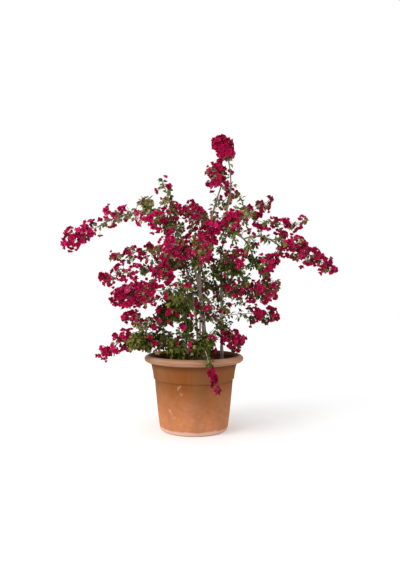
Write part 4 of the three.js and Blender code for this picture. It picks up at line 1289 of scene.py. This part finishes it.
class BOUGAINVILLEA_OT_grow_sprays(bpy.types.Operator):
    """Grows the twigs, leaves, bracts and blossom of every mass, each kind and tint joined"""

    bl_idname = "bougainvillea.grow_sprays"
    bl_label = "Grow sprays"

    def execute(self, context):
        plant = context.scene.bougainvillea_plant
        limbs = all_limbs()
        crop = Crop([], [], [], [])
        for i, mass in enumerate(MASSES):
            parent = limbs[mass.parent]
            base = min(parent.radius(mass.at) * STEM_SHARE, STEM_BASE_RADIUS)
            grow_mass(crop, mass, branch_limb(mass, parent, (base, STEM_TIP_RADIUS)), i + 1, plant)
        for i, sides in enumerate(SIDE_SHOOTS):
            # Shoots on limbs inside the crown get darker leaves, as painted shade
            leaf_deal = YOUNG_DEAL if sides.limb in YOUNG_LIMBS else INNER_DEAL
            grow_sides(crop, limbs[sides.limb], sides, len(MASSES) + 1 + i, plant, leaf_deal)
        if not crop.trios or not crop.leaves:
            raise RuntimeError("the masses grew no bracts or no leaves")
        bark = new_material("young_twig", young_twig, plant)
        twigs = add_piece(tubes_mesh("twigs", crop.tubes), "twigs", bark)
        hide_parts(*[mass.name for mass in MASSES])
        leaf = blade_shape(LEAF_ROWS, *LEAF_FORM)
        for i, tint in enumerate(LEAF_TINTS):
            mesh = joined_mesh(tint, *placed(leaf, [blade for blade in crop.leaves if blade.tint == i]))
            green = new_material(tint, leaf_blade, getattr(plant, tint), plant.leaf_shade, plant.leaf_rib)
            add_piece(mesh, tint, green)
        trios = [trio_shape(*form) for form in TRIO_FORMS]
        for i, tint in enumerate(BRACT_TINTS):
            flowers = [flower for flower in crop.trios if flower.tint == i]
            kinds = [placed(trio, flowers[k :: len(trios)]) for k, trio in enumerate(trios)]
            mesh = joined_mesh(tint, np.concatenate([kind[0] for kind in kinds]), *kinds[0][1:])
            papery = new_material(tint, papery_bract, getattr(plant, tint), plant.bract_vein)
            add_piece(mesh, tint, papery)
        stars = joined_mesh("blossom", *placed(blossom_shape(), crop.blossoms))
        add_piece(stars, "blossom", new_material("waxy_blossom", waxy_blossom, plant))
        return {"FINISHED"}


class BOUGAINVILLEA_OT_set_stage(bpy.types.Operator):
    """Sets the pale floor, the soft light and the camera"""

    bl_idname = "bougainvillea.set_stage"
    bl_label = "Set stage"

    def execute(self, context):
        stage = context.scene.bougainvillea_stage
        shape = bmesh.new()
        bmesh.ops.create_grid(shape, x_segments=4, y_segments=4, size=FLOOR_REACH)
        mesh = bpy.data.meshes.new("studio_floor")
        shape.to_mesh(mesh)
        shape.free()
        mesh.materials.append(new_material("studio_paper", studio_paper, stage))
        add_object("studio_floor", mesh)

        light = bpy.data.lights.new("key_light", "AREA")
        light.size = LAMP_SIZE
        light.energy = stage.key_power
        lamp = add_object("key_light", light)
        lamp.location = LAMP_PLACE
        lamp.rotation_euler = (Vector(LAMP_AIM) - lamp.location).to_track_quat("-Z", "Y").to_euler()

        world = bpy.data.worlds.new("studio_sky")
        world.use_nodes = True
        sky = world.node_tree.nodes["Background"].inputs
        sky["Color"].default_value = (1, 1, 1, 1)
        sky["Strength"].default_value = stage.sky
        context.scene.world = world

        camera = bpy.data.cameras.new("portrait_camera")
        camera.lens = stage.lens
        camera.sensor_width = SENSOR_WIDTH
        camera.shift_x = stage.shift_x
        camera.shift_y = stage.shift_y
        viewer = add_object("portrait_camera", camera)
        viewer.location = (0, -stage.distance, stage.height)
        viewer.rotation_euler = (math.pi / 2, 0, 0)
        context.scene.camera = viewer
        context.scene.view_settings.view_transform = "Standard"
        return {"FINISHED"}


class VIEW3D_PT_bougainvillea(bpy.types.Panel):
    """Lists the steps and settings of the potted bougainvillea"""

    bl_label = "Potted bougainvillea"
    bl_space_type = "VIEW_3D"
    bl_region_type = "UI"
    bl_category = "Bougainvillea"

    def draw(self, context):
        for operator in OPERATORS:
            self.layout.operator(operator.bl_idname)
        for group in SETTINGS:
            settings = getattr(context.scene, group)
            box = self.layout.box()
            for name in settings.__annotations__:
                box.prop(settings, name)


SETTINGS = {
    "bougainvillea_pot": PotSettings,
    "bougainvillea_plant": PlantSettings,
    "bougainvillea_stage": StageSettings,
}
OPERATORS = (
    BOUGAINVILLEA_OT_build_pot,
    BOUGAINVILLEA_OT_fill_soil,
    BOUGAINVILLEA_OT_grow_limbs,
    BOUGAINVILLEA_OT_grow_sprays,
    BOUGAINVILLEA_OT_set_stage,
)


def register():
    for group in (*SETTINGS.values(), *OPERATORS, VIEW3D_PT_bougainvillea):
        bpy.utils.register_class(group)
    for name, group in SETTINGS.items():
        setattr(bpy.types.Scene, name, PointerProperty(type=group))


def unregister():
    for name in SETTINGS:
        delattr(bpy.types.Scene, name)
    for group in (VIEW3D_PT_bougainvillea, *reversed(OPERATORS), *reversed(SETTINGS.values())):
        bpy.utils.unregister_class(group)


def main():
    register()
    bpy.ops.bougainvillea.build_pot()
    bpy.ops.bougainvillea.fill_soil()
    bpy.ops.bougainvillea.grow_limbs()
    bpy.ops.bougainvillea.grow_sprays()
    bpy.ops.bougainvillea.set_stage()


if __name__ == "__main__":
    main()
